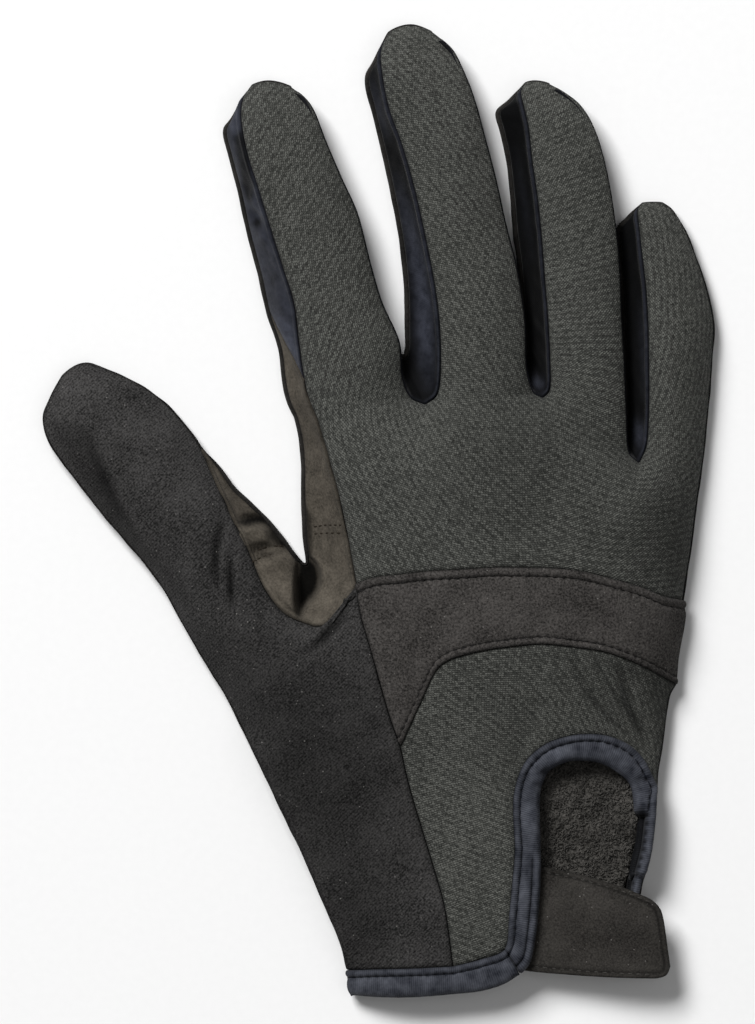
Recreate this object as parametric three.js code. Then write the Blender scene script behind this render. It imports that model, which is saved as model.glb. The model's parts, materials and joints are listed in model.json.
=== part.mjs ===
import * as THREE from "three";

// A full-finger cycling glove for the right hand, lying on its palm.
// Millimetres, +Z up, fingertips towards +Y, little finger towards +X.
// Each panel is one sheet of cloth or suede, cut to its seams and given its thickness.

const WALL = 1.3; // knit, suede and palm leather
const STRAP_WALL = 1.6; // closure strap, suede on hook tape
const BINDING_WALL = 1.5; // folded binding
const SEAM_GAP = 0.2; // each panel stops this far short of its seam line
const BINDING_GAP = 0.35; // the same for the keyhole binding
const FORK_GAP = 0.72; // the same for the gusset, whose seam turns sharply in the fork
const BAND_RISE = 0.45; // the cross band lies on top of the knit
const BINDING_RISE = 0.35; // the binding is folded round the edge
const STRETCH = 0.15; // 1/mm, how soon the cloth levels off away from a seam
const PALM_SEAM_Z = 4.2; // height of the seam between palm and finger wall
const PALM_SIDE_Z = 1.9; // height of the widest line of the turned-up palm
const PALM_TURN = 2.8; // width of the turned-up strip of the palm
const PALM_LIP = 1.0; // the palm stands out this far past a finger wall
const HEM_LIFT = 0.3; // the top hem starts this far above the palm's seam
const SEAM_REACH = 0.45; // pieces whose edges lie closer than this share a seam
const MITRE_LIMIT = 0.62; // least cosine of a mitred seam

const ROW_STEPS = 2; // cuts between two table rows of a finger
const FINGER_STEPS = 5; // cuts across a finger
const THUMB_STEPS = 6; // cuts across the thumb panel
const HAND_STEPS = 7; // cuts from finger roots to band
const BAND_STEPS = 3; // cuts down the band
const WRIST_STEPS = 9; // cuts from band to keyhole
const FORK_STEPS = 6; // cuts round the bottom of the thumb fork
const WALL_STEPS = 2; // cuts down a finger wall
const BINDING_STEPS = 2; // cuts across a binding
const CUFF_STEPS = 12; // cuts along the palm's cuff edge
const SETTLE_PASSES = 600; // sweeps that bring the cloth's heights to rest

const named = (columns, row) => Object.fromEntries(columns.map((name, i) => [name, row[i]]));
const table = (columns, rows) => rows.map((row) => named(columns, row));

// Sections of a finger from root to tip: top seam and palm edge, left and right, and the
// heights of the top seams. The last row is where top seam and palm seam meet.
const SECTION = ["topL", "topR", "palmL", "palmR", "zL", "zR"];
const INDEX = table(SECTION, [
  [[-15.3, 22.8], [11.4, 26.2], [-20.9, 22.8], [6.0, 38.5], 13.0, 10.0],
  [[-17.0, 26.7], [8.0, 27.9], [-22.7, 26.7], [5.3, 39.9], 13.0, 10.0],
  [[-18.3, 32.1], [6.0, 33.1], [-23.9, 32.1], [3.8, 42.9], 12.8, 10.2],
  [[-19.5, 40.7], [5.3, 41.4], [-24.9, 40.2], [1.3, 47.8], 12.5, 10.4],
  [[-20.7, 50.5], [1.1, 51.0], [-27.8, 48.8], [-2.1, 54.1], 12.2, 10.2],
  [[-23.2, 58.6], [-1.8, 60.8], [-29.8, 57.8], [-5.0, 62.7], 12.0, 10.0],
  [[-26.6, 69.3], [-4.8, 72.5], [-32.7, 68.8], [-8.5, 73.3], 11.8, 9.6],
  [[-29.5, 78.6], [-8.7, 81.3], [-34.7, 78.2], [-12.4, 82.1], 11.5, 9.2],
  [[-32.2, 87.2], [-12.6, 90.4], [-36.9, 86.7], [-16.0, 90.2], 11.0, 8.8],
  [[-33.7, 95.3], [-15.3, 97.5], [-38.3, 93.1], [-18.7, 97.0], 9.5, 8.0],
  [[-33.4, 100.7], [-17.8, 101.2], [-36.1, 96.8], [-20.5, 100.9], 7.0, 6.2],
  [[-31.0, 104.4], [-21.4, 103.9], [-31.0, 104.4], [-21.4, 103.9], 4.6, 4.6],
]);
const MIDDLE = table(SECTION, [
  [[11.4, 26.2], [40.1, 27.9], [6.0, 38.5], [34.9, 38.5], 10.0, 10.0],
  [[14.3, 28.7], [37.9, 29.4], [6.2, 40.7], [34.2, 40.4], 10.2, 10.2],
  [[15.1, 35.5], [36.4, 35.5], [6.2, 43.9], [33.2, 44.3], 11.0, 10.6],
  [[14.8, 45.6], [36.1, 46.3], [6.2, 50.2], [31.7, 51.7], 12.0, 10.6],
  [[13.6, 55.4], [34.2, 59.0], [5.8, 57.8], [30.0, 61.0], 12.4, 10.4],
  [[11.6, 65.7], [31.5, 69.8], [4.8, 66.4], [27.6, 70.8], 12.2, 10.0],
  [[8.9, 77.9], [29.0, 81.1], [2.8, 77.4], [24.9, 81.6], 12.0, 9.6],
  [[5.8, 88.9], [26.3, 91.6], [0.4, 88.4], [22.2, 91.9], 11.5, 9.2],
  [[2.3, 98.7], [23.6, 101.2], [-1.8, 97.3], [19.7, 100.7], 10.8, 8.8],
  [[0.6, 107.6], [20.7, 108.5], [-3.6, 105.6], [17.5, 107.6], 9.4, 8.0],
  [[0.4, 112.9], [18.0, 113.4], [-1.6, 110.2], [15.3, 112.9], 7.0, 6.2],
  [[2.3, 117.1], [13.1, 117.4], [2.3, 117.1], [13.1, 117.4], 4.6, 4.6],
]);
const RING = table(SECTION, [
  [[40.1, 27.9], [63.6, 11.8], [34.9, 38.5], [59.7, 21.8], 10.0, 10.0],
  [[41.8, 30.1], [61.4, 14.5], [35.2, 40.7], [58.7, 24.3], 10.2, 10.2],
  [[41.8, 37.5], [60.9, 22.8], [34.9, 45.3], [57.5, 29.6], 11.0, 10.4],
  [[41.3, 47.3], [60.4, 35.0], [34.4, 52.9], [56.5, 39.9], 12.0, 10.4],
  [[40.5, 57.1], [59.7, 47.3], [33.7, 61.0], [55.7, 50.5], 12.2, 10.2],
  [[39.8, 66.4], [59.2, 60.0], [32.7, 68.4], [54.8, 62.0], 12.0, 10.0],
  [[38.8, 76.2], [57.9, 72.5], [32.0, 76.9], [53.5, 73.7], 11.8, 9.6],
  [[37.4, 86.0], [56.0, 83.5], [31.0, 86.0], [51.6, 84.0], 11.4, 9.2],
  [[36.6, 93.8], [53.3, 92.9], [29.5, 92.6], [48.9, 92.4], 10.6, 8.6],
  [[35.4, 99.2], [49.9, 99.0], [28.5, 97.8], [45.9, 98.2], 9.2, 7.6],
  [[34.7, 102.7], [45.9, 102.4], [31.7, 100.9], [42.8, 101.4], 7.0, 6.0],
  [[35.9, 104.9], [41.8, 104.6], [35.9, 104.9], [41.8, 104.6], 4.6, 4.6],
]);
const LITTLE = table(SECTION, [
  [[63.6, 11.8], [79.7, 13.7], [59.7, 21.8], [79.7, 13.7], 10.0, 4.2],
  [[65.5, 16.4], [80.2, 19.4], [59.9, 25.2], [80.2, 19.4], 10.2, 4.2],
  [[66.0, 25.2], [81.0, 27.2], [59.7, 32.1], [81.0, 27.2], 11.0, 4.2],
  [[66.0, 35.5], [81.7, 36.5], [59.4, 39.9], [81.7, 36.5], 11.6, 4.2],
  [[65.8, 45.6], [82.2, 45.3], [59.2, 48.0], [82.2, 45.3], 11.6, 4.2],
  [[65.3, 54.6], [80.5, 54.1], [58.7, 55.6], [80.5, 54.1], 11.2, 4.2],
  [[64.3, 63.5], [77.5, 63.0], [58.2, 63.0], [77.5, 63.0], 10.4, 4.2],
  [[63.6, 70.1], [74.6, 69.8], [57.9, 68.8], [74.6, 69.8], 9.0, 4.2],
  [[63.3, 73.7], [71.9, 73.7], [60.4, 72.0], [71.9, 73.7], 7.0, 4.4],
  [[64.6, 75.5], [69.5, 75.5], [64.6, 75.5], [69.5, 75.5], 4.6, 4.6],
]);
// The thumb's left side is a plain fold to the palm. Its right side has a wall up to row 7.
const THUMB = table(SECTION, [
  [[-40.5, -40.4], [-15.6, -28.2], [-40.5, -40.4], [-18.0, -12.7], 4.2, 12.0],
  [[-44.2, -34.1], [-22.7, -25.2], [-44.2, -34.1], [-20.0, -10.3], 4.2, 11.5],
  [[-47.9, -27.9], [-28.1, -18.6], [-47.9, -27.9], [-23.2, -6.1], 4.2, 11.0],
  [[-51.8, -20.6], [-31.5, -10.5], [-51.8, -20.6], [-27.1, -1.5], 4.2, 10.5],
  [[-56.7, -13.5], [-35.2, -2.7], [-56.7, -13.5], [-31.2, 2.5], 4.2, 10.0],
  [[-62.4, -6.9], [-38.6, 4.7], [-62.4, -6.9], [-34.9, 5.9], 4.2, 8.5],
  [[-67.3, -1.2], [-41.0, 10.0], [-67.3, -1.2], [-37.9, 10.0], 4.2, 6.2],
  [[-71.9, 4.7], [-44.0, 16.4], [-71.9, 4.7], [-44.0, 16.4], 4.2, 4.4],
  [[-76.8, 11.0], [-47.9, 21.8], [-76.8, 11.0], [-47.9, 21.8], 4.2, 4.2],
  [[-80.7, 16.9], [-53.3, 27.4], [-80.7, 16.9], [-53.3, 27.4], 4.2, 4.2],
  [[-82.2, 22.3], [-59.7, 31.6], [-82.2, 22.3], [-59.7, 31.6], 4.2, 4.2],
  [[-80.7, 27.2], [-65.8, 34.3], [-80.7, 27.2], [-65.8, 34.3], 4.4, 4.4],
  [[-77.5, 33.1], [-69.5, 35.8], [-77.5, 33.1], [-69.5, 35.8], 4.6, 4.6],
]);
const THUMB_WALL_END = 7; // row where the thumb's wall has closed
const TIP = {
  index: [-26.6, 105.3],
  middle: [7.5, 119.1],
  ring: [38.6, 105.3],
  little: [67.0, 75.7],
  thumb: [-73.4, 36.0],
};

// Seam lines below the finger roots, from finger to cuff or from left to right: x, y, z.
const LINE = {
  backLeft: [
    [-15.3, 22.8, 13], [-13.8, 17.9, 13.2], [-11.9, 11.3, 13.6], [-9.9, 3.9, 14.1],
    [-8.2, -3.4, 14.6], [-7.0, -10.0, 15.1], [-5.5, -18.1, 15.6],
  ],
  palmLeft: [
    [-20.9, 22.8], [-19.7, 17.4], [-19.2, 11.3], [-19.2, 5.1], [-19.0, -1.0], [-18.7, -7.6],
    [-18.0, -12.7],
  ],
  backRight: [
    [79.7, 13.7], [78.8, 7.6], [77.8, 0.7], [77.1, -5.1], [76.3, -11.0], [75.3, -16.9], [74.6, -22.1],
  ],
  bandTop: [
    [-5.5, -18.1], [-1.1, -16.4], [5.3, -15.7], [12.6, -14.9], [20.0, -14.5], [27.3, -14.0],
    [34.7, -14.0], [42.0, -14.2], [49.4, -14.9], [56.7, -16.7], [64.1, -18.9], [69.5, -21.1],
    [74.6, -22.1],
  ],
  bandBottom: [
    [5.3, -57.3], [8.0, -51.2], [10.9, -44.8], [13.6, -39.2], [17.0, -36.3], [23.6, -34.3],
    [31.0, -33.1], [39.6, -32.3], [48.1, -33.1], [55.5, -34.3], [62.4, -36.8], [67.7, -39.4],
    [72.9, -42.4],
  ],
  bandRight: [[74.6, -22.1], [75.1, -25.3], [74.4, -30.0], [73.3, -36.0], [72.9, -42.4]],
  fork: [
    [-5.5, -18.1, 15.6], [-7.0, -21.3, 15.4], [-8.9, -23.8, 14.8], [-12.6, -27.6, 13.0],
    [-15.6, -28.2, 12],
  ],
  thumbSeamUpper: [
    [-5.5, -18.1], [-4.3, -25.5], [-2.1, -32.8], [0.4, -41.9], [2.8, -50.2], [5.3, -57.3],
  ],
  thumbSeamLower: [
    [5.3, -57.3], [7.5, -67.1], [10.4, -76.9], [13.6, -87.5], [16.3, -97.3], [18.3, -111.5],
  ],
  wristRight: [
    [72.9, -42.4, 4.2], [71.2, -45.6, 4.4], [70.4, -51.2, 4.8], [69.5, -57.3, 5.4],
    [68.5, -63.5, 6.0], [68.2, -67.9, 6.4],
  ],
  thumbLeft: [
    [-40.5, -40.4], [-36.9, -46.3], [-32.0, -56.1], [-27.3, -65.9], [-22.7, -75.7], [-18.0, -85.5],
    [-13.8, -95.3], [-9.7, -105.1], [-7.7, -112.5],
  ],
  hemLeft: [[-7.7, -112.5], [0.4, -112.2], [8.9, -112.0], [18.3, -111.5]],
  hemRight: [[18.3, -111.5], [24.9, -109.8], [31.0, -107.1]],
  hemEdge: [
    [-7.2, -118.6], [0.4, -119.1], [8.9, -119.1], [18.3, -118.3], [24.9, -117.6], [30.4, -116.0],
    [34.7, -113.4],
  ],
  keyOuter: [
    [31.0, -107.1], [32.0, -99.0], [32.7, -91.6], [33.4, -83.1], [33.0, -74.5], [33.4, -67.9],
    [35.9, -61.5], [40.8, -57.1], [46.4, -55.1], [51.3, -54.6], [56.2, -55.1], [61.1, -57.3],
    [65.0, -61.2], [68.2, -67.9],
  ],
  keyRight: [
    [68.2, -67.9, 6.4], [67.7, -75.7, 6.6], [66.8, -83.1, 6.6], [65.5, -88.4, 6.6],
    [64.3, -92.9, 6.6], [63.3, -101.4, 6.6], [62.6, -108.0, 6.6],
  ],
  keyEdge: [
    [34.7, -113.4], [37.2, -110.2], [38.8, -101.4], [39.6, -91.6], [39.8, -83.1], [39.6, -74.5],
    [39.8, -68.4], [41.8, -63.9], [45.4, -61.7], [49.4, -61.2], [53.8, -61.7], [57.7, -63.7],
    [61.4, -67.1], [62.4, -73.7], [62.3, -79.2], [61.3, -84.3], [60.1, -90.4], [58.6, -96.5],
    [57.4, -102.7], [56.4, -108.0],
  ],
  palmMouth: [[62.6, -108.0], [39.0, -107.0], [31.0, -107.5], [18.3, -110.5], [-7.7, -112.5]],
  palmCuff: [[62.6, -112.6], [39.0, -112.6], [31.0, -113.6], [18.3, -117.0], [-7.2, -118.0]],
};
// Where the columns under each pair of fingers cross the band's edges, as a share of each edge.
const COLUMN_SPLIT = table(["under", "bandTop", "bandBottom", "wristEnd"], [
  ["thumb side", 0.0, 0.0, 0.0],
  ["index and middle", 0.257, 0.296, 0.134],
  ["middle and ring", 0.578, 0.6, 0.6],
  ["ring and little", 0.81, 0.82, 0.815],
  ["little side", 1.0, 1.0, 1.0],
]);
const HEM_SPLIT = 0.6; // share of the cuff hem that lies under the thumb panel
// Level of the slack cloth over the empty hand and fingers.
const LOFT = table(["y", "z"], [
  [120, 14.5],
  [60, 16.5],
  [28, 18.5],
  [0, 20.5],
  [-20, 20.5],
  [-45, 17],
  [-58, 13.5],
  [-70, 11.2],
  [-85, 10.2],
  [-118, 9.8],
]);
const THUMB_LOFT = { z: 15.5, farX: -45, nearX: -12 };
// Lengths along the thumb gusset's two seams that lie opposite each other, from thumb to index.
const GUSSET_PAIRS = table(["top", "palm"], [
  [0, 0],
  [7.2, 8.7],
  [13.0, 13.7],
  [21.2, 18.7],
  [30.0, 24.4],
  [38.5, 30.7],
  [47.2, 35.8],
  [54.8, 38.4],
  [63.2, 40.2],
  [69.8, 42.2],
  [78.3, 46.7],
  [100.3, 62.2],
  [112.3, 77.7],
  [122.0, 101.7],
]);
const SPLIT_TOP_ROW = 2; // the brown gusset reaches this row of the index finger's top seam
const SPLIT_PALM_ROW = 4; // and this row of its palm edge
const WALL_END = 1; // finger walls stop this many rows short of the tip corner
const WALL_BULGE = 0.8; // finger walls swell outwards by this much at mid height
const GUSSET_BULGE = -0.4; // the gusset sinks inwards instead

// Closure strap sections from the keyhole to its free end: upper edge, lower edge, height.
const STRAP = table(["up", "low", "z"], [
  [[34.6, -85.6], [33.6, -112.2], 8.1],
  [[39.8, -86.7], [37.5, -112.9], 8.2],
  [[48.1, -88.4], [47.0, -113.7], 8.8],
  [[55.0, -90.3], [55.2, -114.2], 10.2],
  [[60.0, -91.9], [61.0, -114.4], 10.9],
  [[64.1, -93.6], [66.0, -114.5], 10.7],
  [[67.0, -95.0], [68.6, -114.4], 10.1],
  [[69.2, -97.6], [70.6, -113.6], 9.6],
  [[70.2, -102.6], [71.5, -111.4], 9.3],
]);
const PAD = {
  left: 36.4,
  right: 64.6,
  lowRight: 59.0,
  low: -97.5,
  shoulder: -74.0,
  z: 1.6,
  thick: 2.2,
  bevel: 0.5,
  roundSteps: 14,
};

const COLOUR = {
  knit: 0x33352f,
  suede: 0x1f1b18,
  gusset: 0x3d3428,
  navy: 0x1b2030,
  palm: 0x2b2723,
  pad: 0x24221f,
};

const range = (count) => [...Array(count).keys()];
const lerp = (a, b, t) => a + (b - a) * t;
const pinned = (point, z) => new THREE.Vector3(point.x, point.y, z);

function smooth(points) {
  const knots = points.map(([x, y, z = 0]) => new THREE.Vector3(x, y, z));
  return new THREE.CatmullRomCurve3(knots, false, "catmullrom", 0.5);
}

// Points of a seam line at equal steps of length.
const spaced = (name, steps) => smooth(LINE[name]).getSpacedPoints(steps);

function lookup(rows, from, to, value) {
  const ordered = [...rows].sort((a, b) => a[from] - b[from]);
  const next = ordered.findIndex((row) => row[from] >= value);
  if (next <= 0) return ordered[next === 0 ? 0 : ordered.length - 1][to];
  const [a, b] = [ordered[next - 1], ordered[next]];
  return lerp(a[to], b[to], (value - a[from]) / (b[from] - a[from]));
}

// A finger's four long lines, cut at ROW_STEPS points between rows.
function fingerLines(rows) {
  const line = (side, height) => {
    const knots = rows.map((row) => [...row[side], height ? row[height] : 0]);
    return smooth(knots).getPoints(ROW_STEPS * (rows.length - 1));
  };
  return {
    topL: line("topL", "zL"),
    topR: line("topR", "zR"),
    palmL: line("palmL"),
    palmR: line("palmR"),
  };
}

// A parabola round a fingertip, from the left corner over the tip to the right corner.
function tipArc(left, right, tip, steps) {
  const middle = left.clone().lerp(right, 0.5);
  const reach = new THREE.Vector3(tip[0], tip[1], middle.z).sub(middle);
  return range(steps + 1).map((i) => {
    const t = i / steps;
    return left.clone().lerp(right, t).addScaledVector(reach, 4 * t * (1 - t));
  });
}

// Points from a to b; those between the ends have no height yet.
function across(a, b, steps) {
  return range(steps + 1).map((i) => {
    const point = a.clone().lerp(b, i / steps);
    return i > 0 && i < steps ? pinned(point, NaN) : point;
  });
}

// Sheet of a finger's back, tip row first.
function fingerSheet(lines, tip, steps) {
  const rows = lines.topL.map((left, i) => across(left, lines.topR[i], steps));
  rows[rows.length - 1] = tipArc(lines.topL.at(-1), lines.topR.at(-1), tip, steps);
  return rows.reverse();
}

// Sheet between four edges. Points inside have no height yet; edges keep theirs.
function edgedSheet(top, bottom, left, right) {
  const rows = left.length - 1;
  const columns = top.length - 1;
  return range(rows + 1).map((i) => range(columns + 1).map((j) => {
    if (i === 0) return top[j];
    if (i === rows) return bottom[j];
    if (j === 0) return left[i];
    if (j === columns) return right[i];
    const [v, u] = [i / rows, j / columns];
    const blend = (axis) => {
      const down = lerp(top[j][axis], bottom[j][axis], v);
      const over = lerp(left[i][axis], right[i][axis], u);
      const first = lerp(top[0][axis], top[columns][axis], u);
      const last = lerp(bottom[0][axis], bottom[columns][axis], u);
      return down + over - lerp(first, last, v);
    };
    return new THREE.Vector3(blend("x"), blend("y"), NaN);
  }));
}

const unpin = (points) => points.map((point) => pinned(point, NaN));
const level = (points, z) => points.map((point) => pinned(point, z));

const fingers = { index: INDEX, middle: MIDDLE, ring: RING, little: LITTLE, thumb: THUMB };
const lines = Object.fromEntries(Object.entries(fingers).map(([name, rows]) => [name, fingerLines(rows)]));
const FOUR = ["index", "middle", "ring", "little"];

// Column positions along an edge, FINGER_STEPS columns under each finger.
function columnShares(column) {
  const shares = [0];
  for (const finger of range(FOUR.length)) {
    for (const i of range(FINGER_STEPS)) {
      const t = (i + 1) / FINGER_STEPS;
      shares.push(lerp(COLUMN_SPLIT[finger][column], COLUMN_SPLIT[finger + 1][column], t));
    }
  }
  return shares;
}

function alongShares(points, shares) {
  const curve = smooth(points);
  curve.arcLengthDivisions = 40 * points.length;
  return shares.map((share) => curve.getPointAt(Math.min(1, share)));
}

// Sheets of the top of the glove.
const fingerRoots = FOUR.flatMap((name, f) => {
  const root = across(lines[name].topL[0], lines[name].topR[0], FINGER_STEPS);
  return f === 0 ? root : root.slice(1);
});
const backLeft = spaced("backLeft", HAND_STEPS);
const backRight = level(spaced("backRight", HAND_STEPS), PALM_SEAM_Z);
const bandTop = unpin(alongShares(LINE.bandTop, columnShares("bandTop")));
bandTop[0] = backLeft.at(-1);
bandTop[bandTop.length - 1] = backRight.at(-1);
const bandBottom = unpin(alongShares(LINE.bandBottom, columnShares("bandBottom")));
const bandRight = level(spaced("bandRight", BAND_STEPS), PALM_SEAM_Z);
const wristRight = spaced("wristRight", WRIST_STEPS);
bandBottom[bandBottom.length - 1] = wristRight[0];
const seamUpper = unpin(spaced("thumbSeamUpper", BAND_STEPS));
const seamLower = unpin(spaced("thumbSeamLower", WRIST_STEPS));
seamUpper[0] = backLeft.at(-1);

const wristEndCurve = [...LINE.hemRight, ...LINE.keyOuter.slice(1)];
const wristEnd = unpin(alongShares(wristEndCurve, columnShares("wristEnd")));
wristEnd[0] = seamLower.at(-1);
wristEnd[wristEnd.length - 1] = wristRight.at(-1);

const thumbEdge = level(spaced("thumbLeft", FORK_STEPS + BAND_STEPS + WRIST_STEPS), PALM_SEAM_Z);
const fork = spaced("fork", FORK_STEPS).reverse();
const thumbInner = [...fork, ...seamUpper.slice(1), ...seamLower.slice(1)];
const thumbLow = thumbEdge.map((point, i) => across(point, thumbInner[i], THUMB_STEPS));
const hemLeft = unpin(spaced("hemLeft", THUMB_STEPS));
hemLeft[0] = thumbEdge.at(-1);
thumbLow[thumbLow.length - 1] = hemLeft;

const hemShares = [
  ...range(THUMB_STEPS + 1).map((i) => (HEM_SPLIT * i) / THUMB_STEPS),
  ...range(FINGER_STEPS).map((i) => lerp(HEM_SPLIT, 1, (i + 1) / FINGER_STEPS)),
];
const hemTop = [...hemLeft, ...wristEnd.slice(1, FINGER_STEPS + 1)];
const hemEdge = unpin(alongShares(LINE.hemEdge, hemShares));
hemEdge[0].z = PALM_SEAM_Z + HEM_LIFT;
const keyTop = [...wristEnd.slice(FINGER_STEPS), ...spaced("keyRight", WRIST_STEPS).slice(1)];
const keyEdge = unpin(spaced("keyEdge", keyTop.length - 1));
keyEdge[0] = hemEdge.at(-1);

// Sheet between two lines of equally many points.
const ladder = (a, b, steps) => range(steps + 1).map((i) => a.map((point, j) => {
  if (i === 0) return point;
  if (i === steps) return b[j];
  return pinned(point.clone().lerp(b[j], i / steps), j === 0 ? point.z : NaN);
}));

const rootEdge = fingerRoots.map((point, i) => (i % FINGER_STEPS ? pinned(point, NaN) : point));

// The top of the glove as one cloth, whose height is worked out in one go.
const topSheets = {
  back_panel: [
    ...FOUR.map((name) => fingerSheet(lines[name], TIP[name], FINGER_STEPS)),
    edgedSheet(rootEdge, bandTop, backLeft, backRight),
  ],
  cross_band: [edgedSheet(bandTop, bandBottom, seamUpper, bandRight)],
  wrist_panel: [edgedSheet(bandBottom, wristEnd, seamLower, wristRight)],
  thumb_panel: [fingerSheet(lines.thumb, TIP.thumb, THUMB_STEPS), thumbLow],
  cuff_binding: [ladder(hemTop, hemEdge, BINDING_STEPS)],
  keyhole_binding: [ladder(keyTop, keyEdge, BINDING_STEPS)],
};

const flatKey = (point) => `${Math.round(point.x * 100)},${Math.round(point.y * 100)}`;
const solidKey = (point) => `${flatKey(point)},${Math.round(point.z * 100)}`;

// One mesh of several sheets that share their edge points.
function joinSheets(sheets, key) {
  const index = new Map();
  const points = [];
  const triangles = [];
  const number = (point) => {
    const name = key(point);
    if (!index.has(name)) {
      index.set(name, points.length);
      points.push(point.clone());
    }
    const found = points[index.get(name)];
    if (Number.isNaN(found.z)) found.z = point.z;
    return index.get(name);
  };
  for (const sheet of sheets) {
    const ids = sheet.map((row) => row.map(number));
    for (let i = 0; i + 1 < ids.length; i += 1) {
      for (let j = 0; j + 1 < ids[i].length; j += 1) {
        const [a, b, c, d] = [ids[i][j], ids[i + 1][j], ids[i + 1][j + 1], ids[i][j + 1]];
        for (const face of [[a, b, c], [a, c, d]]) {
          if (new Set(face).size === 3) triangles.push(face);
        }
      }
    }
  }
  return { points, triangles, index };
}

// Height where the slack cloth would lie far from any seam.
function loft(point) {
  const hand = lookup(LOFT, "y", "z", point.y);
  const share = THREE.MathUtils.smoothstep(point.x, THUMB_LOFT.farX, THUMB_LOFT.nearX);
  return lerp(Math.min(THUMB_LOFT.z, hand), hand, share);
}

const MIN_LINK = 0.02; // least pull between neighbouring points
const MIN_AREA = 1e-6; // keeps a sliver's pull finite

// Heights of a stretched cloth: pulled flat between its pinned seams, held up towards the loft.
function stretch(mesh) {
  const { points, triangles } = mesh;
  const pins = points.map((point) => !Number.isNaN(point.z));
  const links = points.map(() => new Map());
  const area = points.map(() => 0);
  for (const face of triangles) {
    const corners = face.map((id) => new THREE.Vector2(points[id].x, points[id].y));
    const [ab, ac] = [corners[1].clone().sub(corners[0]), corners[2].clone().sub(corners[0])];
    const size = Math.max(Math.abs(ab.cross(ac)) / 2, MIN_AREA);
    for (const k of range(3)) {
      const [a, b, c] = [k, (k + 1) % 3, (k + 2) % 3];
      const [toB, toC] = [corners[b].clone().sub(corners[a]), corners[c].clone().sub(corners[a])];
      const weight = Math.max(MIN_LINK, toB.dot(toC) / (4 * size));
      links[face[b]].set(face[c], (links[face[b]].get(face[c]) ?? 0) + weight);
      links[face[c]].set(face[b], (links[face[c]].get(face[b]) ?? 0) + weight);
      area[face[a]] += size / 3;
    }
  }
  const target = points.map(loft);
  points.forEach((point, i) => {
    if (!pins[i]) point.z = target[i];
  });
  for (let pass = 0; pass < SETTLE_PASSES; pass += 1) {
    points.forEach((point, i) => {
      if (pins[i]) return;
      const pull = STRETCH * STRETCH * area[i];
      let sum = pull * target[i];
      let total = pull;
      for (const [j, weight] of links[i]) {
        sum += weight * points[j].z;
        total += weight;
      }
      point.z = sum / total;
    });
  }
}

const top = joinSheets(Object.values(topSheets).flat(), flatKey);
stretch(top);
const heightAt = (point) => top.points[top.index.get(flatKey(point))];

// Palm edge from the thumb side of the cuff, round thumb and fingers, to the other side of the cuff.
// lip: how far the seam lies inside the edge. z: height of the seam.
const SAME_POINT = 0.05;
const palmPath = [];
const palmMarks = {};
function addPalm(points, lipAt, zAt, mark) {
  const start = palmPath.length;
  points.forEach((point, i) => {
    const last = palmPath.at(-1);
    if (last && Math.hypot(last.x - point.x, last.y - point.y) < SAME_POINT) return;
    palmPath.push({ x: point.x, y: point.y, lip: lipAt(i), z: zAt(i) });
  });
  if (mark) palmMarks[mark] = [Math.max(0, start - 1), palmPath.length - 1];
}
const flat = () => 0;
const lipped = () => PALM_LIP;
const low = () => PALM_SEAM_Z;
const growing = (i) => PALM_LIP * Math.min(1, i / ROW_STEPS);
const shrinking = (end) => (i) => growing(end - i);

const thumbWallEnd = THUMB_WALL_END * ROW_STEPS;
addPalm([...thumbEdge].reverse(), flat, low);
addPalm(lines.thumb.topL, flat, low);
addPalm(tipArc(lines.thumb.topL.at(-1), lines.thumb.topR.at(-1), TIP.thumb, THUMB_STEPS), flat, low);
addPalm(lines.thumb.topR.slice(thumbWallEnd).reverse(), flat, low);
addPalm(lines.thumb.palmR.slice(0, thumbWallEnd).reverse(), (i) => growing(i + 1), low, "thumbR");
addPalm([...spaced("palmLeft", HAND_STEPS)].reverse(), lipped, low, "palmLeft");
for (const name of FOUR) {
  const finger = lines[name];
  addPalm(finger.palmL, shrinking(finger.palmL.length - 1), low, `${name}L`);
  addPalm(tipArc(finger.topL.at(-1), finger.topR.at(-1), TIP[name], FINGER_STEPS), flat, low);
  if (name === "little") addPalm([...finger.topR].reverse(), flat, low);
  else addPalm([...finger.palmR].reverse(), growing, low, `${name}R`);
}
for (const edge of [backRight, bandRight]) addPalm(edge, flat, low);
const rightSide = [...wristRight, ...keyTop.slice(-WRIST_STEPS)];
addPalm(rightSide, flat, (i) => rightSide[i].z);

// Outward direction at each point of the palm edge.
palmPath.forEach((point, i) => {
  const before = palmPath[Math.max(0, i - 1)];
  const after = palmPath[Math.min(palmPath.length - 1, i + 1)];
  const step = new THREE.Vector2(after.x - before.x, after.y - before.y).normalize();
  point.out = [-step.y, step.x];
});
function offsetPalm({ x, y, out }, inset, z) {
  return new THREE.Vector3(x - inset * out[0], y - inset * out[1], z);
}
const palmSeam = palmPath.map((point) => offsetPalm(point, point.lip, point.z));
const palmStrip = palmPath.map((point, i) => {
  const side = offsetPalm(point, 0, PALM_SIDE_Z);
  return [palmSeam[i], side, offsetPalm(point, PALM_TURN, 0)];
});

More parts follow.
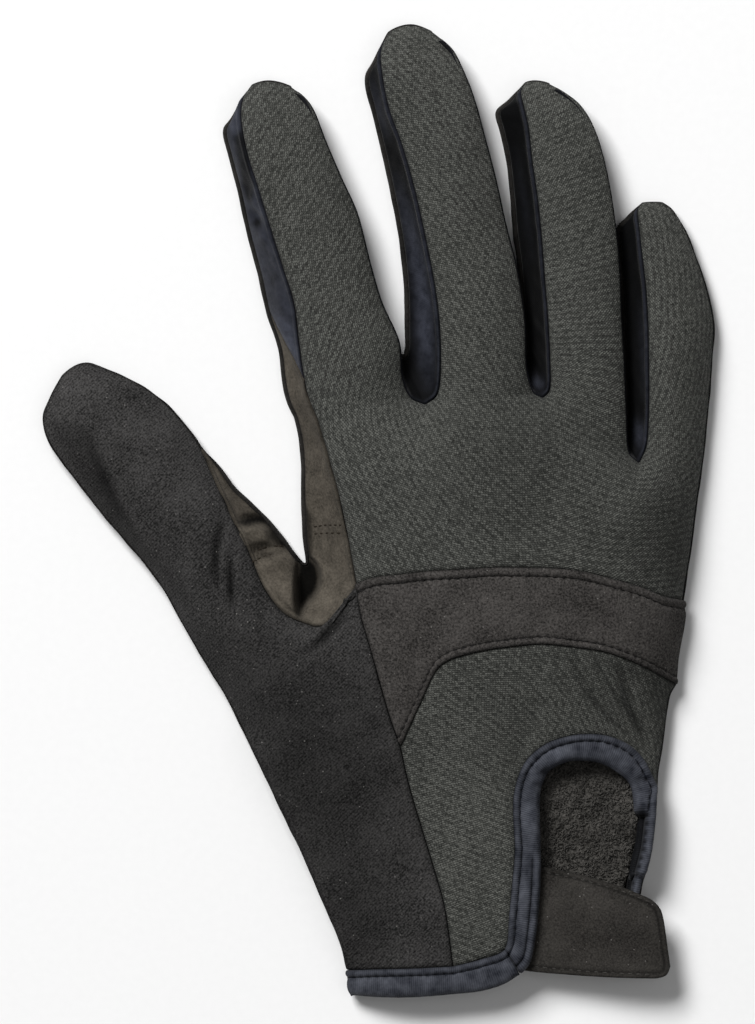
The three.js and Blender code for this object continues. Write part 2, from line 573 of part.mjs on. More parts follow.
// The palm: its turned-up strip, and the flat sole inside it.
function palmMesh() {
  const mouth = level(smooth(LINE.palmMouth).getPoints(2 * (LINE.palmMouth.length - 1)), 0);
  const sole = [...palmStrip.map((row) => row[2]), ...mouth.slice(1, -1)];
  const mesh = joinSheets([palmStrip], solidKey);
  const ids = sole.map((point) => {
    const name = solidKey(point);
    if (!mesh.index.has(name)) {
      mesh.index.set(name, mesh.points.length);
      mesh.points.push(point.clone());
    }
    return mesh.index.get(name);
  });
  const contour = sole.map((point) => new THREE.Vector2(point.x, point.y));
  const down = !THREE.ShapeUtils.isClockWise(contour);
  for (const [a, b, c] of THREE.ShapeUtils.triangulateShape(contour, [])) {
    const face = down ? [ids[c], ids[b], ids[a]] : [ids[a], ids[b], ids[c]];
    const [p, q, r] = face.map((id) => mesh.points[id]);
    const turn = (q.x - p.x) * (r.y - p.y) - (q.y - p.y) * (r.x - p.x);
    mesh.triangles.push(turn < 0 ? face : [face[0], face[2], face[1]]);
  }
  return mesh;
}

// Wall between a top seam and a palm seam, both given as equally long lists of points.
function wallSheet(upper, lower, bulge) {
  return upper.map((from, i) => {
    const to = lower[i];
    const along = upper[Math.min(i + 1, upper.length - 1)].clone().sub(upper[Math.max(i - 1, 0)]);
    const out = along.cross(to.clone().sub(from)).normalize();
    return range(WALL_STEPS + 1).map((j) => {
      const w = j / WALL_STEPS;
      return from.clone().lerp(to, w).addScaledVector(out, 4 * bulge * w * (1 - w));
    });
  });
}

const seamBetween = (mark) => palmSeam.slice(palmMarks[mark][0], palmMarks[mark][1] + 1);

// Point at a length along a list of points.
function atLength(points, length) {
  let left = length;
  for (let i = 0; i + 1 < points.length; i += 1) {
    const step = points[i].distanceTo(points[i + 1]);
    if (left <= step) return points[i].clone().lerp(points[i + 1], left / step);
    left -= step;
  }
  return points.at(-1).clone();
}

function fullLength(points) {
  return points.slice(1).reduce((sum, point, i) => sum + point.distanceTo(points[i]), 0);
}

function resample(points, count) {
  const length = fullLength(points);
  return range(count + 1).map((i) => atLength(points, (length * i) / count));
}

// Walls between two neighbouring fingers, from one tip down to the fork and up to the other tip.
function fourchette(right, left) {
  const upperA = [...lines[right].topR].reverse();
  const upperB = lines[left].topL;
  const lowerA = seamBetween(`${right}R`);
  const lowerB = seamBetween(`${left}L`);
  const cut = WALL_END * ROW_STEPS;
  const upper = [...upperA.slice(cut, -1), ...upperB.slice(0, upperB.length - cut)];
  const lower = [...lowerA.slice(cut, -1), ...lowerB.slice(0, lowerB.length - cut)];
  return [wallSheet(upper, lower, WALL_BULGE)];
}

const indexTop = lines.index.topL;
const indexPalm = seamBetween("indexL");
const sideTop = indexTop.slice(SPLIT_TOP_ROW * ROW_STEPS, -WALL_END * ROW_STEPS);
const sidePalm = indexPalm.slice(SPLIT_PALM_ROW * ROW_STEPS, -WALL_END * ROW_STEPS);
const sideWall = [wallSheet(sideTop, resample(sidePalm, sideTop.length - 1), WALL_BULGE)];

const gussetTop = [...lines.thumb.topR.slice(0, thumbWallEnd).reverse(), ...fork.slice(1),
  ...[...backLeft].reverse().slice(1), ...indexTop.slice(1, SPLIT_TOP_ROW * ROW_STEPS + 1)];
const gussetPalm = [...seamBetween("thumbR"), ...seamBetween("palmLeft").slice(1),
  ...indexPalm.slice(1, SPLIT_PALM_ROW * ROW_STEPS + 1)];
const topScale = GUSSET_PAIRS.at(-1).top / fullLength(gussetTop);
const palmScale = fullLength(gussetPalm) / GUSSET_PAIRS.at(-1).palm;
const gussetFoot = gussetTop.map((point, i) => {
  const stop = fullLength(gussetTop.slice(0, i + 1)) * topScale;
  return atLength(gussetPalm, lookup(GUSSET_PAIRS, "top", "palm", stop) * palmScale);
});
const gusset = [wallSheet(gussetTop.slice(1), gussetFoot.slice(1), GUSSET_BULGE)];

// Binding along the palm's cuff edge, turned up at both sides.
function palmCuffSheet() {
  const upper = smooth(LINE.palmMouth).getPoints(CUFF_STEPS).reverse();
  const lower = smooth(LINE.palmCuff).getPoints(CUFF_STEPS).reverse();
  const row = (points) => {
    const shift = (side, end) => {
      const move = pinned(points.at(end), 0).sub(pinned(upper.at(end), 0));
      return side.map((point) => point.clone().add(move));
    };
    const left = shift(palmStrip[0], 0);
    const right = shift(palmStrip.at(-1), -1).reverse();
    const floor = level(points.slice(1, -1), 0)
      .filter((point) => point.x > left[2].x + 1 && point.x < right[0].x - 1);
    return [...left, ...floor, ...right];
  };
  return [[row(upper), row(lower)].map((points) => points.reverse())];
}

// The closure strap, from the keyhole's left side over the slit to its free end.
function strapSheet() {
  const line = (edge) => {
    const knots = STRAP.map((row) => [...row[edge], row.z]);
    return smooth(knots).getPoints(2 * (STRAP.length - 1));
  };
  const [lower, upper] = [line("low"), line("up")];
  const pointAt = (i, j) => lower[i].clone().lerp(upper[i], j / WALL_STEPS);
  return [lower.map((_, i) => range(WALL_STEPS + 1).map((j) => pointAt(i, j)))];
}

const meshes = Object.fromEntries(Object.entries(topSheets).map(([name, sheets]) => {
  const mesh = joinSheets(sheets, flatKey);
  mesh.points.forEach((point) => {
    point.z = heightAt(point).z;
  });
  return [name, mesh];
}));
meshes.thumb_gusset = joinSheets(gusset, solidKey);
meshes.index_side_wall = joinSheets(sideWall, solidKey);
meshes.fourchette_index_middle = joinSheets(fourchette("index", "middle"), solidKey);
meshes.fourchette_middle_ring = joinSheets(fourchette("middle", "ring"), solidKey);
meshes.fourchette_ring_little = joinSheets(fourchette("ring", "little"), solidKey);
meshes.palm_panel = palmMesh();
meshes.palm_cuff_binding = joinSheets(palmCuffSheet(), solidKey);
meshes.closure_strap = joinSheets(strapSheet(), solidKey);

// Directions straight out of the sheet, and the sheet's edge as pairs of neighbours.
function measure(mesh) {
  mesh.normals = mesh.points.map(() => new THREE.Vector3());
  const edges = new Map();
  for (const face of mesh.triangles) {
    const [a, b, c] = face.map((id) => mesh.points[id]);
    const normal = b.clone().sub(a).cross(c.clone().sub(a));
    face.forEach((id, k) => {
      mesh.normals[id].add(normal);
      edges.set(`${id},${face[(k + 1) % 3]}`, [id, face[(k + 1) % 3]]);
    });
  }
  mesh.normals.forEach((normal) => normal.normalize());
  mesh.edge = [...edges.values()].filter(([a, b]) => !edges.has(`${b},${a}`));
}
Object.values(meshes).forEach(measure);

// At a seam, the pieces on both sides share one direction, so that their inner faces mitre.
function seamDirection(mesh, id) {
  const point = mesh.points[id];
  const sum = mesh.normals[id].clone();
  for (const other of Object.values(meshes)) {
    if (other === mesh) continue;
    let best = SEAM_REACH;
    let found = null;
    for (const [a, b] of other.edge) {
      const line = new THREE.Line3(other.points[a], other.points[b]);
      const share = line.closestPointToPointParameter(point, true);
      const distance = line.at(share, new THREE.Vector3()).distanceTo(point);
      if (distance < best) {
        best = distance;
        found = other.normals[a].clone().lerp(other.normals[b], share);
      }
    }
    if (found) sum.add(found.normalize());
  }
  return sum.normalize();
}

// A sheet with its thickness: outer face, inner face and the cut edge between them. Nothing
// reaches below the surface that the palm lies on.
function thicken(mesh, wall, rise, gap) {
  const before = new Map(mesh.edge.map(([a, b]) => [b, a]));
  const after = new Map(mesh.edge);
  const outer = [];
  const inner = [];
  mesh.points.forEach((point, id) => {
    const own = mesh.normals[id];
    const place = point.clone().addScaledVector(own, rise);
    let direction = own;
    if (after.has(id)) {
      direction = mesh.free ? own : seamDirection(mesh, id);
      const along = mesh.points[after.get(id)].clone().sub(mesh.points[before.get(id)]);
      place.addScaledVector(own.clone().cross(along).normalize(), gap);
    }
    place.z = Math.max(0, place.z);
    const mitre = wall / Math.max(MITRE_LIMIT, direction.dot(own));
    outer.push(place);
    inner.push(place.clone().addScaledVector(direction, -mitre));
  });
  const count = outer.length;
  const under = mesh.triangles.map(([a, b, c]) => [c + count, b + count, a + count]);
  const faces = [...mesh.triangles, ...under];
  for (const [a, b] of mesh.edge) faces.push([b, a, a + count], [b, a + count, b + count]);
  const places = [...outer, ...inner].flatMap((point) => point.toArray());
  const geometry = new THREE.BufferGeometry();
  geometry.setAttribute("position", new THREE.Float32BufferAttribute(places, 3));
  geometry.setIndex(faces.flat());
  geometry.computeVertexNormals();
  return geometry;
}

// The loop pad: straight sides, a round top end under the keyhole's arch.
function padGeometry() {
  const shape = new THREE.Shape();
  const radius = (PAD.right - PAD.left) / 2;
  shape.moveTo(PAD.left, PAD.low);
  shape.lineTo(PAD.lowRight, PAD.low);
  shape.lineTo(PAD.right, PAD.shoulder);
  shape.absarc(PAD.left + radius, PAD.shoulder, radius, 0, Math.PI, false);
  shape.lineTo(PAD.left, PAD.low);
  const geometry = new THREE.ExtrudeGeometry(shape, {
    depth: PAD.thick - 2 * PAD.bevel,
    bevelThickness: PAD.bevel,
    bevelSize: PAD.bevel,
    bevelOffset: -PAD.bevel,
    bevelSegments: 1,
    curveSegments: PAD.roundSteps,
  });
  geometry.translate(0, 0, PAD.z + PAD.bevel);
  return geometry;
}

function finish(colour, roughness) {
  return new THREE.MeshStandardMaterial({ color: colour, roughness, metalness: 0 });
}

const PIECES = table(["name", "wall", "rise", "gap", "colour", "roughness"], [
  ["back_panel", WALL, 0, SEAM_GAP, COLOUR.knit, 0.9],
  ["cross_band", WALL, BAND_RISE, SEAM_GAP, COLOUR.suede, 0.95],
  ["wrist_panel", WALL, 0, SEAM_GAP, COLOUR.knit, 0.9],
  ["thumb_panel", WALL, 0, SEAM_GAP, COLOUR.suede, 0.97],
  ["thumb_gusset", WALL, 0, FORK_GAP, COLOUR.gusset, 0.95],
  ["index_side_wall", WALL, 0, SEAM_GAP, COLOUR.navy, 0.7],
  ["fourchette_index_middle", WALL, 0, SEAM_GAP, COLOUR.navy, 0.7],
  ["fourchette_middle_ring", WALL, 0, SEAM_GAP, COLOUR.navy, 0.7],
  ["fourchette_ring_little", WALL, 0, SEAM_GAP, COLOUR.navy, 0.7],
  ["palm_panel", WALL, 0, SEAM_GAP, COLOUR.palm, 0.9],
  ["keyhole_binding", BINDING_WALL, BINDING_RISE, BINDING_GAP, COLOUR.navy, 0.75],
  ["cuff_binding", BINDING_WALL, BINDING_RISE, SEAM_GAP, COLOUR.navy, 0.75],
  ["palm_cuff_binding", BINDING_WALL, 0, SEAM_GAP, COLOUR.navy, 0.75],
  ["closure_strap", STRAP_WALL, 0, SEAM_GAP, COLOUR.suede, 0.93],
]);

meshes.closure_strap.free = true;
const glove = new THREE.Group();
glove.name = "cycling_glove";
for (const piece of PIECES) {
  const geometry = thicken(meshes[piece.name], piece.wall, piece.rise, piece.gap);
  const mesh = new THREE.Mesh(geometry, finish(piece.colour, piece.roughness));
  mesh.name = piece.name;
  glove.add(mesh);
}
const pad = new THREE.Mesh(padGeometry(), finish(COLOUR.pad, 1));
pad.name = "loop_pad";
glove.add(pad);

// The glove's own origin: the middle of its box on the plane that the palm rests on.
const box = new THREE.Box3().setFromObject(glove);
glove.position.set(-(box.min.x + box.max.x) / 2, -(box.min.y + box.max.y) / 2, -box.min.z);

export default glove;
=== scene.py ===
"""A right-hand cycling glove that lies on its palm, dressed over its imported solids.

The pattern tables are in millimetres, +Y to the fingertips, +X to the little finger, +Z up.
Every panel is cut from the same seam lines as the solids, at a finer step.
"""

import json
import logging
import math
from dataclasses import dataclass, field
from enum import Enum
from typing import Any, Callable, Mapping, NamedTuple, Sequence

import bpy
import numpy as np
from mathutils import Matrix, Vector, noise
from mathutils.bvhtree import BVHTree
from mathutils.geometry import tessellate_polygon
from mathutils.kdtree import KDTree

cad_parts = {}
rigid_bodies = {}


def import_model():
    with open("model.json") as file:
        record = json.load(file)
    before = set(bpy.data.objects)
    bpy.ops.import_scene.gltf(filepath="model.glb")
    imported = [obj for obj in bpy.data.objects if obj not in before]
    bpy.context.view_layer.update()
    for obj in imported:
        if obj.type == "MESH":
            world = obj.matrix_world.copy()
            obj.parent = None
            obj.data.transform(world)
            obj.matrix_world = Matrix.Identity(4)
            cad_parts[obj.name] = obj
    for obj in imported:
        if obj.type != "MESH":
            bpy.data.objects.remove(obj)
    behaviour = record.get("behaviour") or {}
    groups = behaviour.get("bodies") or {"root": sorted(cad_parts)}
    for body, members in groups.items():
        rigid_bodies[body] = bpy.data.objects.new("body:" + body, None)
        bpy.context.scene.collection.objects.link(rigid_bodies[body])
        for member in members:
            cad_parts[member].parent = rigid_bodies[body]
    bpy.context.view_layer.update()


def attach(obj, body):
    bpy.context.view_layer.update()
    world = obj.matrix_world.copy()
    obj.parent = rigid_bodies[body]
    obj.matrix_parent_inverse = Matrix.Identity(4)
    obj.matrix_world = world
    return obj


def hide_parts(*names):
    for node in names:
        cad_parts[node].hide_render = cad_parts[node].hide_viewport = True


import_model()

log = logging.getLogger("glove")

Array = np.ndarray
Material = bpy.types.Material
Object = bpy.types.Object
Place = tuple[float, float]
Colour = tuple[float, float, float]

MM = 0.001
FRAME_SHIFT = np.array([0.0, -0.0331, 0.0])  # from the pattern tables to the frame, mm
PALM_SEAM_Z = 4.2  # height of the seam between palm and finger wall
PALM_SIDE_Z = 1.9  # height of the widest line of the turned-up palm
PALM_TURN = 2.8  # width of the turned-up strip of the palm
PALM_LIP = 1.0  # the palm stands out this far past a finger wall
STRETCH = 0.15  # 1/mm, how soon the cloth levels off away from a seam
THUMB_WALL_END = 7  # table row where the thumb's wall has closed
WALL_END = 0.35  # table rows between a finger wall's end and its tip corner
GUSSET_TOP_ROW = 2  # the brown gusset reaches this row of the index finger's top seam
GUSSET_PALM_ROW = 4  # and this row of its palm edge
TIP_LIFT = 0.3  # the seam rises this far round a fingertip and at the cuff's corner
TIP_BOW_ROWS = 3  # table rows that bow round a fingertip
KNOT_STEPS = 24  # steps between two knots of a seam line
FACING_STEPS = 1500  # steps along a line when the place opposite a point is looked for
FACING_SPREAD = 6  # neighbours on each side that such a place is evened over
SAME_PLACE = 0.02  # mm, closer points of the palm's edge are one
SETTLE_SWEEPS = 800  # most sweeps that bring the cloth's heights to rest
SETTLED = 1e-9  # force at which the cloth is at rest
SLACK_Z = (4.8, 8.0)  # heights between which the cloth grows slack enough to fold
SEAM_SINK = 0.32  # mm, how deep the cloth is drawn in at a seam
SEAM_SINK_WIDTH = 0.85  # mm, half width of that groove
SEAM_DARK_WIDTH = 0.6  # mm, half width of the darker strip along a panel's rim
MITRE_LIMIT = 0.62  # least cosine of a mitred seam
MITRE_REACH = 0.8  # mm, panels whose rims lie closer than this share a seam
SOLE_LIFT = 0.1  # mm, lowest place of a panel's inner face
PAINTED_LIGHT_RANGE = (0.03, 2.0)  # darkest and lightest share of a finish's own colour that the painted light and shade and the darker seams leave
STITCH_PITCH = 2.1  # mm, from one stitch to the next
STRAP_PITCH = 2.0  # the same on the strap
GUSSET_PITCH = 1.2  # and on the gusset
BAND_RISE = 0.45  # mm, the cross band lies on top of the knit
TAPE_WALL = 1.5  # mm, folded binding tape
TAPE_RISE = 0.35  # mm, how far it stands above its seams
STRAP_WALL = 1.6  # mm, suede on hook tape
PAD_WALL = 2.2  # mm, the pad with its backing
CLOSE_ROWS = (0.0, 0.3, 0.65, 1.0, 1.35, 1.65, 1.95, 2.25, 2.7)  # mm from an outer edge
FOUR = ("index", "middle", "ring", "little")


class Section(NamedTuple):
    """A cut across a finger: top seam and palm edge on both sides, and the seams' heights."""

    top_left: Place
    top_right: Place
    palm_left: Place
    palm_right: Place
    z_left: float
    z_right: float


def finger(*rows: tuple[float, ...]) -> tuple[Section, ...]:
    """Names the numbers of a finger's rows, root to tip, as Section lists them."""
    return tuple(Section(row[:2], row[2:4], row[4:6], row[6:8], *row[8:]) for row in rows)


FINGERS: dict[str, tuple[Section, ...]] = {
    "index": finger(
        (-15.3, 22.8, 11.4, 26.2, -20.9, 22.8, 6, 38.5, 13, 10),
        (-17, 26.7, 8, 27.9, -22.7, 26.7, 5.3, 39.9, 13, 10),
        (-18.3, 32.1, 6, 33.1, -23.9, 32.1, 3.8, 42.9, 12.8, 10.2),
        (-19.5, 40.7, 5.3, 41.4, -24.9, 40.2, 1.3, 47.8, 12.5, 10.4),
        (-20.7, 50.5, 1.1, 51, -27.8, 48.8, -2.1, 54.1, 12.2, 10.2),
        (-23.2, 58.6, -1.8, 60.8, -29.8, 57.8, -5, 62.7, 12, 10),
        (-26.6, 69.3, -4.8, 72.5, -32.7, 68.8, -8.5, 73.3, 11.8, 9.6),
        (-29.5, 78.6, -8.7, 81.3, -34.7, 78.2, -12.4, 82.1, 11.5, 9.2),
        (-32.2, 87.2, -12.6, 90.4, -36.9, 86.7, -16, 90.2, 11, 8.8),
        (-33.7, 95.3, -15.3, 97.5, -38.3, 93.1, -18.7, 97, 9.5, 8),
        (-33.4, 100.7, -17.8, 101.2, -36.1, 96.8, -20.5, 100.9, 7, 6.2),
        (-31, 104.4, -21.4, 103.9, -31, 104.4, -21.4, 103.9, 4.6, 4.6),
    ),
    "middle": finger(
        (11.4, 26.2, 40.1, 27.9, 6, 38.5, 34.9, 38.5, 10, 10),
        (14.3, 28.7, 37.9, 29.4, 6.2, 40.7, 34.2, 40.4, 10.2, 10.2),
        (15.1, 35.5, 36.4, 35.5, 6.2, 43.9, 33.2, 44.3, 11, 10.6),
        (14.8, 45.6, 36.1, 46.3, 6.2, 50.2, 31.7, 51.7, 12, 10.6),
        (13.6, 55.4, 34.2, 59, 5.8, 57.8, 30, 61, 12.4, 10.4),
        (11.6, 65.7, 31.5, 69.8, 4.8, 66.4, 27.6, 70.8, 12.2, 10),
        (8.9, 77.9, 29, 81.1, 2.8, 77.4, 24.9, 81.6, 12, 9.6),
        (5.8, 88.9, 26.3, 91.6, 0.4, 88.4, 22.2, 91.9, 11.5, 9.2),
        (2.3, 98.7, 23.6, 101.2, -1.8, 97.3, 19.7, 100.7, 10.8, 8.8),
        (0.6, 107.6, 20.7, 108.5, -3.6, 105.6, 17.5, 107.6, 9.4, 8),
        (0.4, 112.9, 18, 113.4, -1.6, 110.2, 15.3, 112.9, 7, 6.2),
        (2.3, 117.1, 13.1, 117.4, 2.3, 117.1, 13.1, 117.4, 4.6, 4.6),
    ),
    "ring": finger(
        (40.1, 27.9, 63.6, 11.8, 34.9, 38.5, 59.7, 21.8, 10, 10),
        (41.8, 30.1, 61.4, 14.5, 35.2, 40.7, 58.7, 24.3, 10.2, 10.2),
        (41.8, 37.5, 60.9, 22.8, 34.9, 45.3, 57.5, 29.6, 11, 10.4),
        (41.3, 47.3, 60.4, 35, 34.4, 52.9, 56.5, 39.9, 12, 10.4),
        (40.5, 57.1, 59.7, 47.3, 33.7, 61, 55.7, 50.5, 12.2, 10.2),
        (39.8, 66.4, 59.2, 60, 32.7, 68.4, 54.8, 62, 12, 10),
        (38.8, 76.2, 57.9, 72.5, 32, 76.9, 53.5, 73.7, 11.8, 9.6),
        (37.4, 86, 56, 83.5, 31, 86, 51.6, 84, 11.4, 9.2),
        (36.6, 93.8, 53.3, 92.9, 29.5, 92.6, 48.9, 92.4, 10.6, 8.6),
        (35.4, 99.2, 49.9, 99, 28.5, 97.8, 45.9, 98.2, 9.2, 7.6),
        (34.7, 102.7, 45.9, 102.4, 31.7, 100.9, 42.8, 101.4, 7, 6),
        (35.9, 104.9, 41.8, 104.6, 35.9, 104.9, 41.8, 104.6, 4.6, 4.6),
    ),
    "little": finger(
        (63.6, 11.8, 79.7, 13.7, 59.7, 21.8, 79.7, 13.7, 10, 4.2),
        (65.5, 16.4, 80.2, 19.4, 59.9, 25.2, 80.2, 19.4, 10.2, 4.2),
        (66, 25.2, 81, 27.2, 59.7, 32.1, 81, 27.2, 11, 4.2),
        (66, 35.5, 81.7, 36.5, 59.4, 39.9, 81.7, 36.5, 11.6, 4.2),
        (65.8, 45.6, 82.2, 45.3, 59.2, 48, 82.2, 45.3, 11.6, 4.2),
        (65.3, 54.6, 80.5, 54.1, 58.7, 55.6, 80.5, 54.1, 11.2, 4.2),
        (64.3, 63.5, 77.5, 63, 58.2, 63, 77.5, 63, 10.4, 4.2),
        (63.6, 70.1, 74.6, 69.8, 57.9, 68.8, 74.6, 69.8, 9, 4.2),
        (63.3, 73.7, 71.9, 73.7, 60.4, 72, 71.9, 73.7, 7, 4.4),
        (64.6, 75.5, 69.5, 75.5, 64.6, 75.5, 69.5, 75.5, 4.6, 4.6),
    ),
    "thumb": finger(
        (-40.5, -40.4, -15.6, -28.2, -40.5, -40.4, -18, -12.7, 4.2, 12),
        (-44.2, -34.1, -22.7, -25.2, -44.2, -34.1, -20, -10.3, 4.2, 11.5),
        (-47.9, -27.9, -28.1, -18.6, -47.9, -27.9, -23.2, -6.1, 4.2, 11),
        (-51.8, -20.6, -31.5, -10.5, -51.8, -20.6, -27.1, -1.5, 4.2, 10.5),
        (-56.7, -13.5, -35.2, -2.7, -56.7, -13.5, -31.2, 2.5, 4.2, 10),
        (-62.4, -6.9, -38.6, 4.7, -62.4, -6.9, -34.9, 5.9, 4.2, 8.5),
        (-67.3, -1.2, -41, 10, -67.3, -1.2, -37.9, 10, 4.2, 6.2),
        (-71.9, 4.7, -44, 16.4, -71.9, 4.7, -44, 16.4, 4.2, 4.4),
        (-76.8, 11, -47.9, 21.8, -76.8, 11, -47.9, 21.8, 4.2, 4.2),
        (-80.7, 16.9, -53.3, 27.4, -80.7, 16.9, -53.3, 27.4, 4.2, 4.2),
        (-82.2, 22.3, -59.7, 31.6, -82.2, 22.3, -59.7, 31.6, 4.2, 4.2),
        (-80.7, 27.2, -65.8, 34.3, -80.7, 27.2, -65.8, 34.3, 4.4, 4.4),
        (-77.5, 33.1, -69.5, 35.8, -77.5, 33.1, -69.5, 35.8, 4.6, 4.6),
    ),
}
LINES: dict[str, tuple[tuple[float, ...], ...]] = {
    "back_left": (
        (-15.3, 22.8, 13), (-13.8, 17.9, 13.2), (-11.9, 11.3, 13.6), (-9.9, 3.9, 14.1),
        (-8.2, -3.4, 14.6), (-7, -10, 15.1), (-5.5, -18.1, 15.6),
    ),
    "palm_left": (
        (-20.9, 22.8), (-19.7, 17.4), (-19.2, 11.3), (-19.2, 5.1), (-19, -1), (-18.7, -7.6),
        (-18, -12.7),
    ),
    "back_right": (
        (79.7, 13.7), (78.8, 7.6), (77.8, 0.7), (77.1, -5.1), (76.3, -11), (75.3, -16.9),
        (74.6, -22.1),
    ),
    "band_top": (
        (-5.5, -18.1), (-1.1, -16.4), (5.3, -15.7), (12.6, -14.9), (20, -14.5), (27.3, -14),
        (34.7, -14), (42, -14.2), (49.4, -14.9), (56.7, -16.7), (64.1, -18.9), (69.5, -21.1),
        (74.6, -22.1),
    ),
    "band_bottom": (
        (5.3, -57.3), (8, -51.2), (10.9, -44.8), (13.6, -39.2), (17, -36.3), (23.6, -34.3),
        (31, -33.1), (39.6, -32.3), (48.1, -33.1), (55.5, -34.3), (62.4, -36.8), (67.7, -39.4),
        (72.9, -42.4),
    ),
    "band_right": (
        (74.6, -22.1), (75.1, -25.3), (74.4, -30), (73.3, -36), (72.9, -42.4),
    ),
    "fork": (
        (-5.5, -18.1, 15.6), (-7, -21.3, 15.4), (-8.9, -23.8, 14.8), (-12.6, -27.6, 13),
        (-15.6, -28.2, 12),
    ),
    "thumb_seam_upper": (
        (-5.5, -18.1), (-4.3, -25.5), (-2.1, -32.8), (0.4, -41.9), (2.8, -50.2), (5.3, -57.3),
    ),
    "thumb_seam_lower": (
        (5.3, -57.3), (7.5, -67.1), (10.4, -76.9), (13.6, -87.5), (16.3, -97.3), (18.3, -111.5),
    ),
    "wrist_right": (
        (72.9, -42.4, 4.2), (71.2, -45.6, 4.4), (70.4, -51.2, 4.8), (69.5, -57.3, 5.4),
        (68.5, -63.5, 6), (68.2, -67.9, 6.4),
    ),
    "thumb_left": (
        (-40.5, -40.4), (-36.9, -46.3), (-32, -56.1), (-27.3, -65.9), (-22.7, -75.7),
        (-18, -85.5), (-13.8, -95.3), (-9.7, -105.1), (-7.7, -112.5),
    ),
    "hem_left": (
        (-7.7, -112.5), (0.4, -112.2), (8.9, -112), (18.3, -111.5),
    ),
    "hem_right": (
        (18.3, -111.5), (24.9, -109.8), (31, -107.1),
    ),
    "hem_edge": (
        (-7.2, -118.6), (0.4, -119.1), (8.9, -119.1), (18.3, -118.3), (24.9, -117.6),
        (30.4, -116), (34.7, -113.4),
    ),
    "key_outer": (
        (31, -107.1), (32, -99), (32.7, -91.6), (33.4, -83.1), (33, -74.5), (33.4, -67.9),
        (35.9, -61.5), (40.8, -57.1), (46.4, -55.1), (51.3, -54.6), (56.2, -55.1), (61.1, -57.3),
        (65, -61.2), (68.2, -67.9),
    ),
    "key_right": (
        (68.2, -67.9, 6.4), (67.7, -75.7, 6.6), (66.8, -83.1, 6.6), (65.5, -88.4, 6.6),
        (64.3, -92.9, 6.6), (63.3, -101.4, 6.6), (62.6, -108, 6.6),
    ),
    "key_edge": (
        (34.7, -113.4), (37.2, -110.2), (38.8, -101.4), (39.6, -91.6), (39.8, -83.1),
        (39.6, -74.5), (39.8, -68.4), (41.8, -63.9), (45.4, -61.7), (49.4, -61.2), (53.8, -61.7),
        (57.7, -63.7), (61.4, -67.1), (62.4, -73.7), (62.3, -79.2), (61.3, -84.3), (60.1, -90.4),
        (58.6, -96.5), (57.4, -102.7), (56.4, -108),
    ),
    "palm_mouth": (
        (62.6, -108), (39, -107), (31, -107.5), (18.3, -110.5), (-7.7, -112.5),
    ),
    "palm_cuff": (
        (62.6, -112.6), (39, -112.6), (31, -113.6), (18.3, -117), (-7.2, -118),
    ),
}
TIPS: dict[str, Place] = {
    "index": (-26.6, 105.3),
    "middle": (7.5, 119.1),
    "ring": (38.6, 105.3),
    "little": (67, 75.7),
    "thumb": (-73.4, 36),
}


class EdgeShare(NamedTuple):
    """Where the columns under each pair of fingers cross the edges below, as shares of length."""

    band_top: float
    band_bottom: float
    wrist_end: float


EDGE_SHARES = (
    EdgeShare(0.0, 0.0, 0.0),
    EdgeShare(0.257, 0.296, 0.134),
    EdgeShare(0.578, 0.6, 0.6),
    EdgeShare(0.81, 0.82, 0.815),
    EdgeShare(1.0, 1.0, 1.0),
)
HEM_SPLIT = 0.6  # share of the cuff hem that lies under the thumb panel
LOFT_Y = (-118, -85, -70, -58, -45, -20, 0, 28, 60, 120)
LOFT_Z = (9.8, 10.2, 11.2, 13.5, 17, 20.5, 20.5, 18.5, 16.5, 14.5)
THUMB_LOFT = 15.5
THUMB_LOFT_X = (-45.0, -12.0)
GUSSET_TOP = (0, 7.2, 13, 21.2, 30, 38.5, 47.2, 54.8, 63.2, 69.8, 78.3, 100.3, 112.3, 122)
GUSSET_PALM = (0, 8.7, 13.7, 18.7, 24.4, 30.7, 35.8, 38.4, 40.2, 42.2, 46.7, 62.2, 77.7, 101.7)


class StrapCut(NamedTuple):
    """A cut across the closure strap: upper edge, lower edge, height."""

    upper: Place
    lower: Place
    z: float


STRAP = (
    StrapCut((34.6, -85.6), (33.6, -112.2), 8.1),
    StrapCut((39.8, -86.7), (37.5, -112.9), 8.2),
    StrapCut((48.1, -88.4), (47.0, -113.7), 8.8),
    StrapCut((55.0, -90.3), (55.2, -114.2), 10.2),
    StrapCut((60.0, -91.9), (61.0, -114.4), 10.9),
    StrapCut((64.1, -93.6), (66.0, -114.5), 10.7),
    StrapCut((67.0, -95.0), (68.6, -114.4), 10.1),
    StrapCut((69.2, -97.6), (70.6, -113.6), 9.6),
    StrapCut((70.2, -102.6), (71.5, -111.4), 9.3),
)


# Lines and sheets of points


def smooth(knots: Array, per: int) -> Array:
    """Runs a smooth line through knots.

    Args:
        knots: Points that the line passes through, one row each.
        per: Steps between two knots.

    Returns:
        The line's points, knots included.
    """
    ends = np.vstack([2 * knots[:1] - knots[1:2], knots, 2 * knots[-1:] - knots[-2:-1]])
    a, b, c, d = (ends[i : len(ends) - 3 + i, None, :] for i in range(4))
    t = np.arange(per)[None, :, None] / per
    cubic = 3 * (b - c) + d - a
    line = b + 0.5 * t * (c - a + t * (2 * a - 5 * b + 4 * c - d + t * cubic))
    return np.vstack([line.reshape(-1, knots.shape[1]), knots[-1:]])


def travelled(line: Array) -> Array:
    """Gives the length from a line's start to each of its points."""
    return np.concatenate([[0.0], np.cumsum(np.linalg.norm(np.diff(line, axis=0), axis=1))])


def at_shares(line: Array, shares: Array) -> Array:
    """Gives the points at these shares, 0 to 1, of a line's length."""
    run = travelled(line)
    return np.stack([np.interp(shares * run[-1], run, axis) for axis in line.T], axis=1)


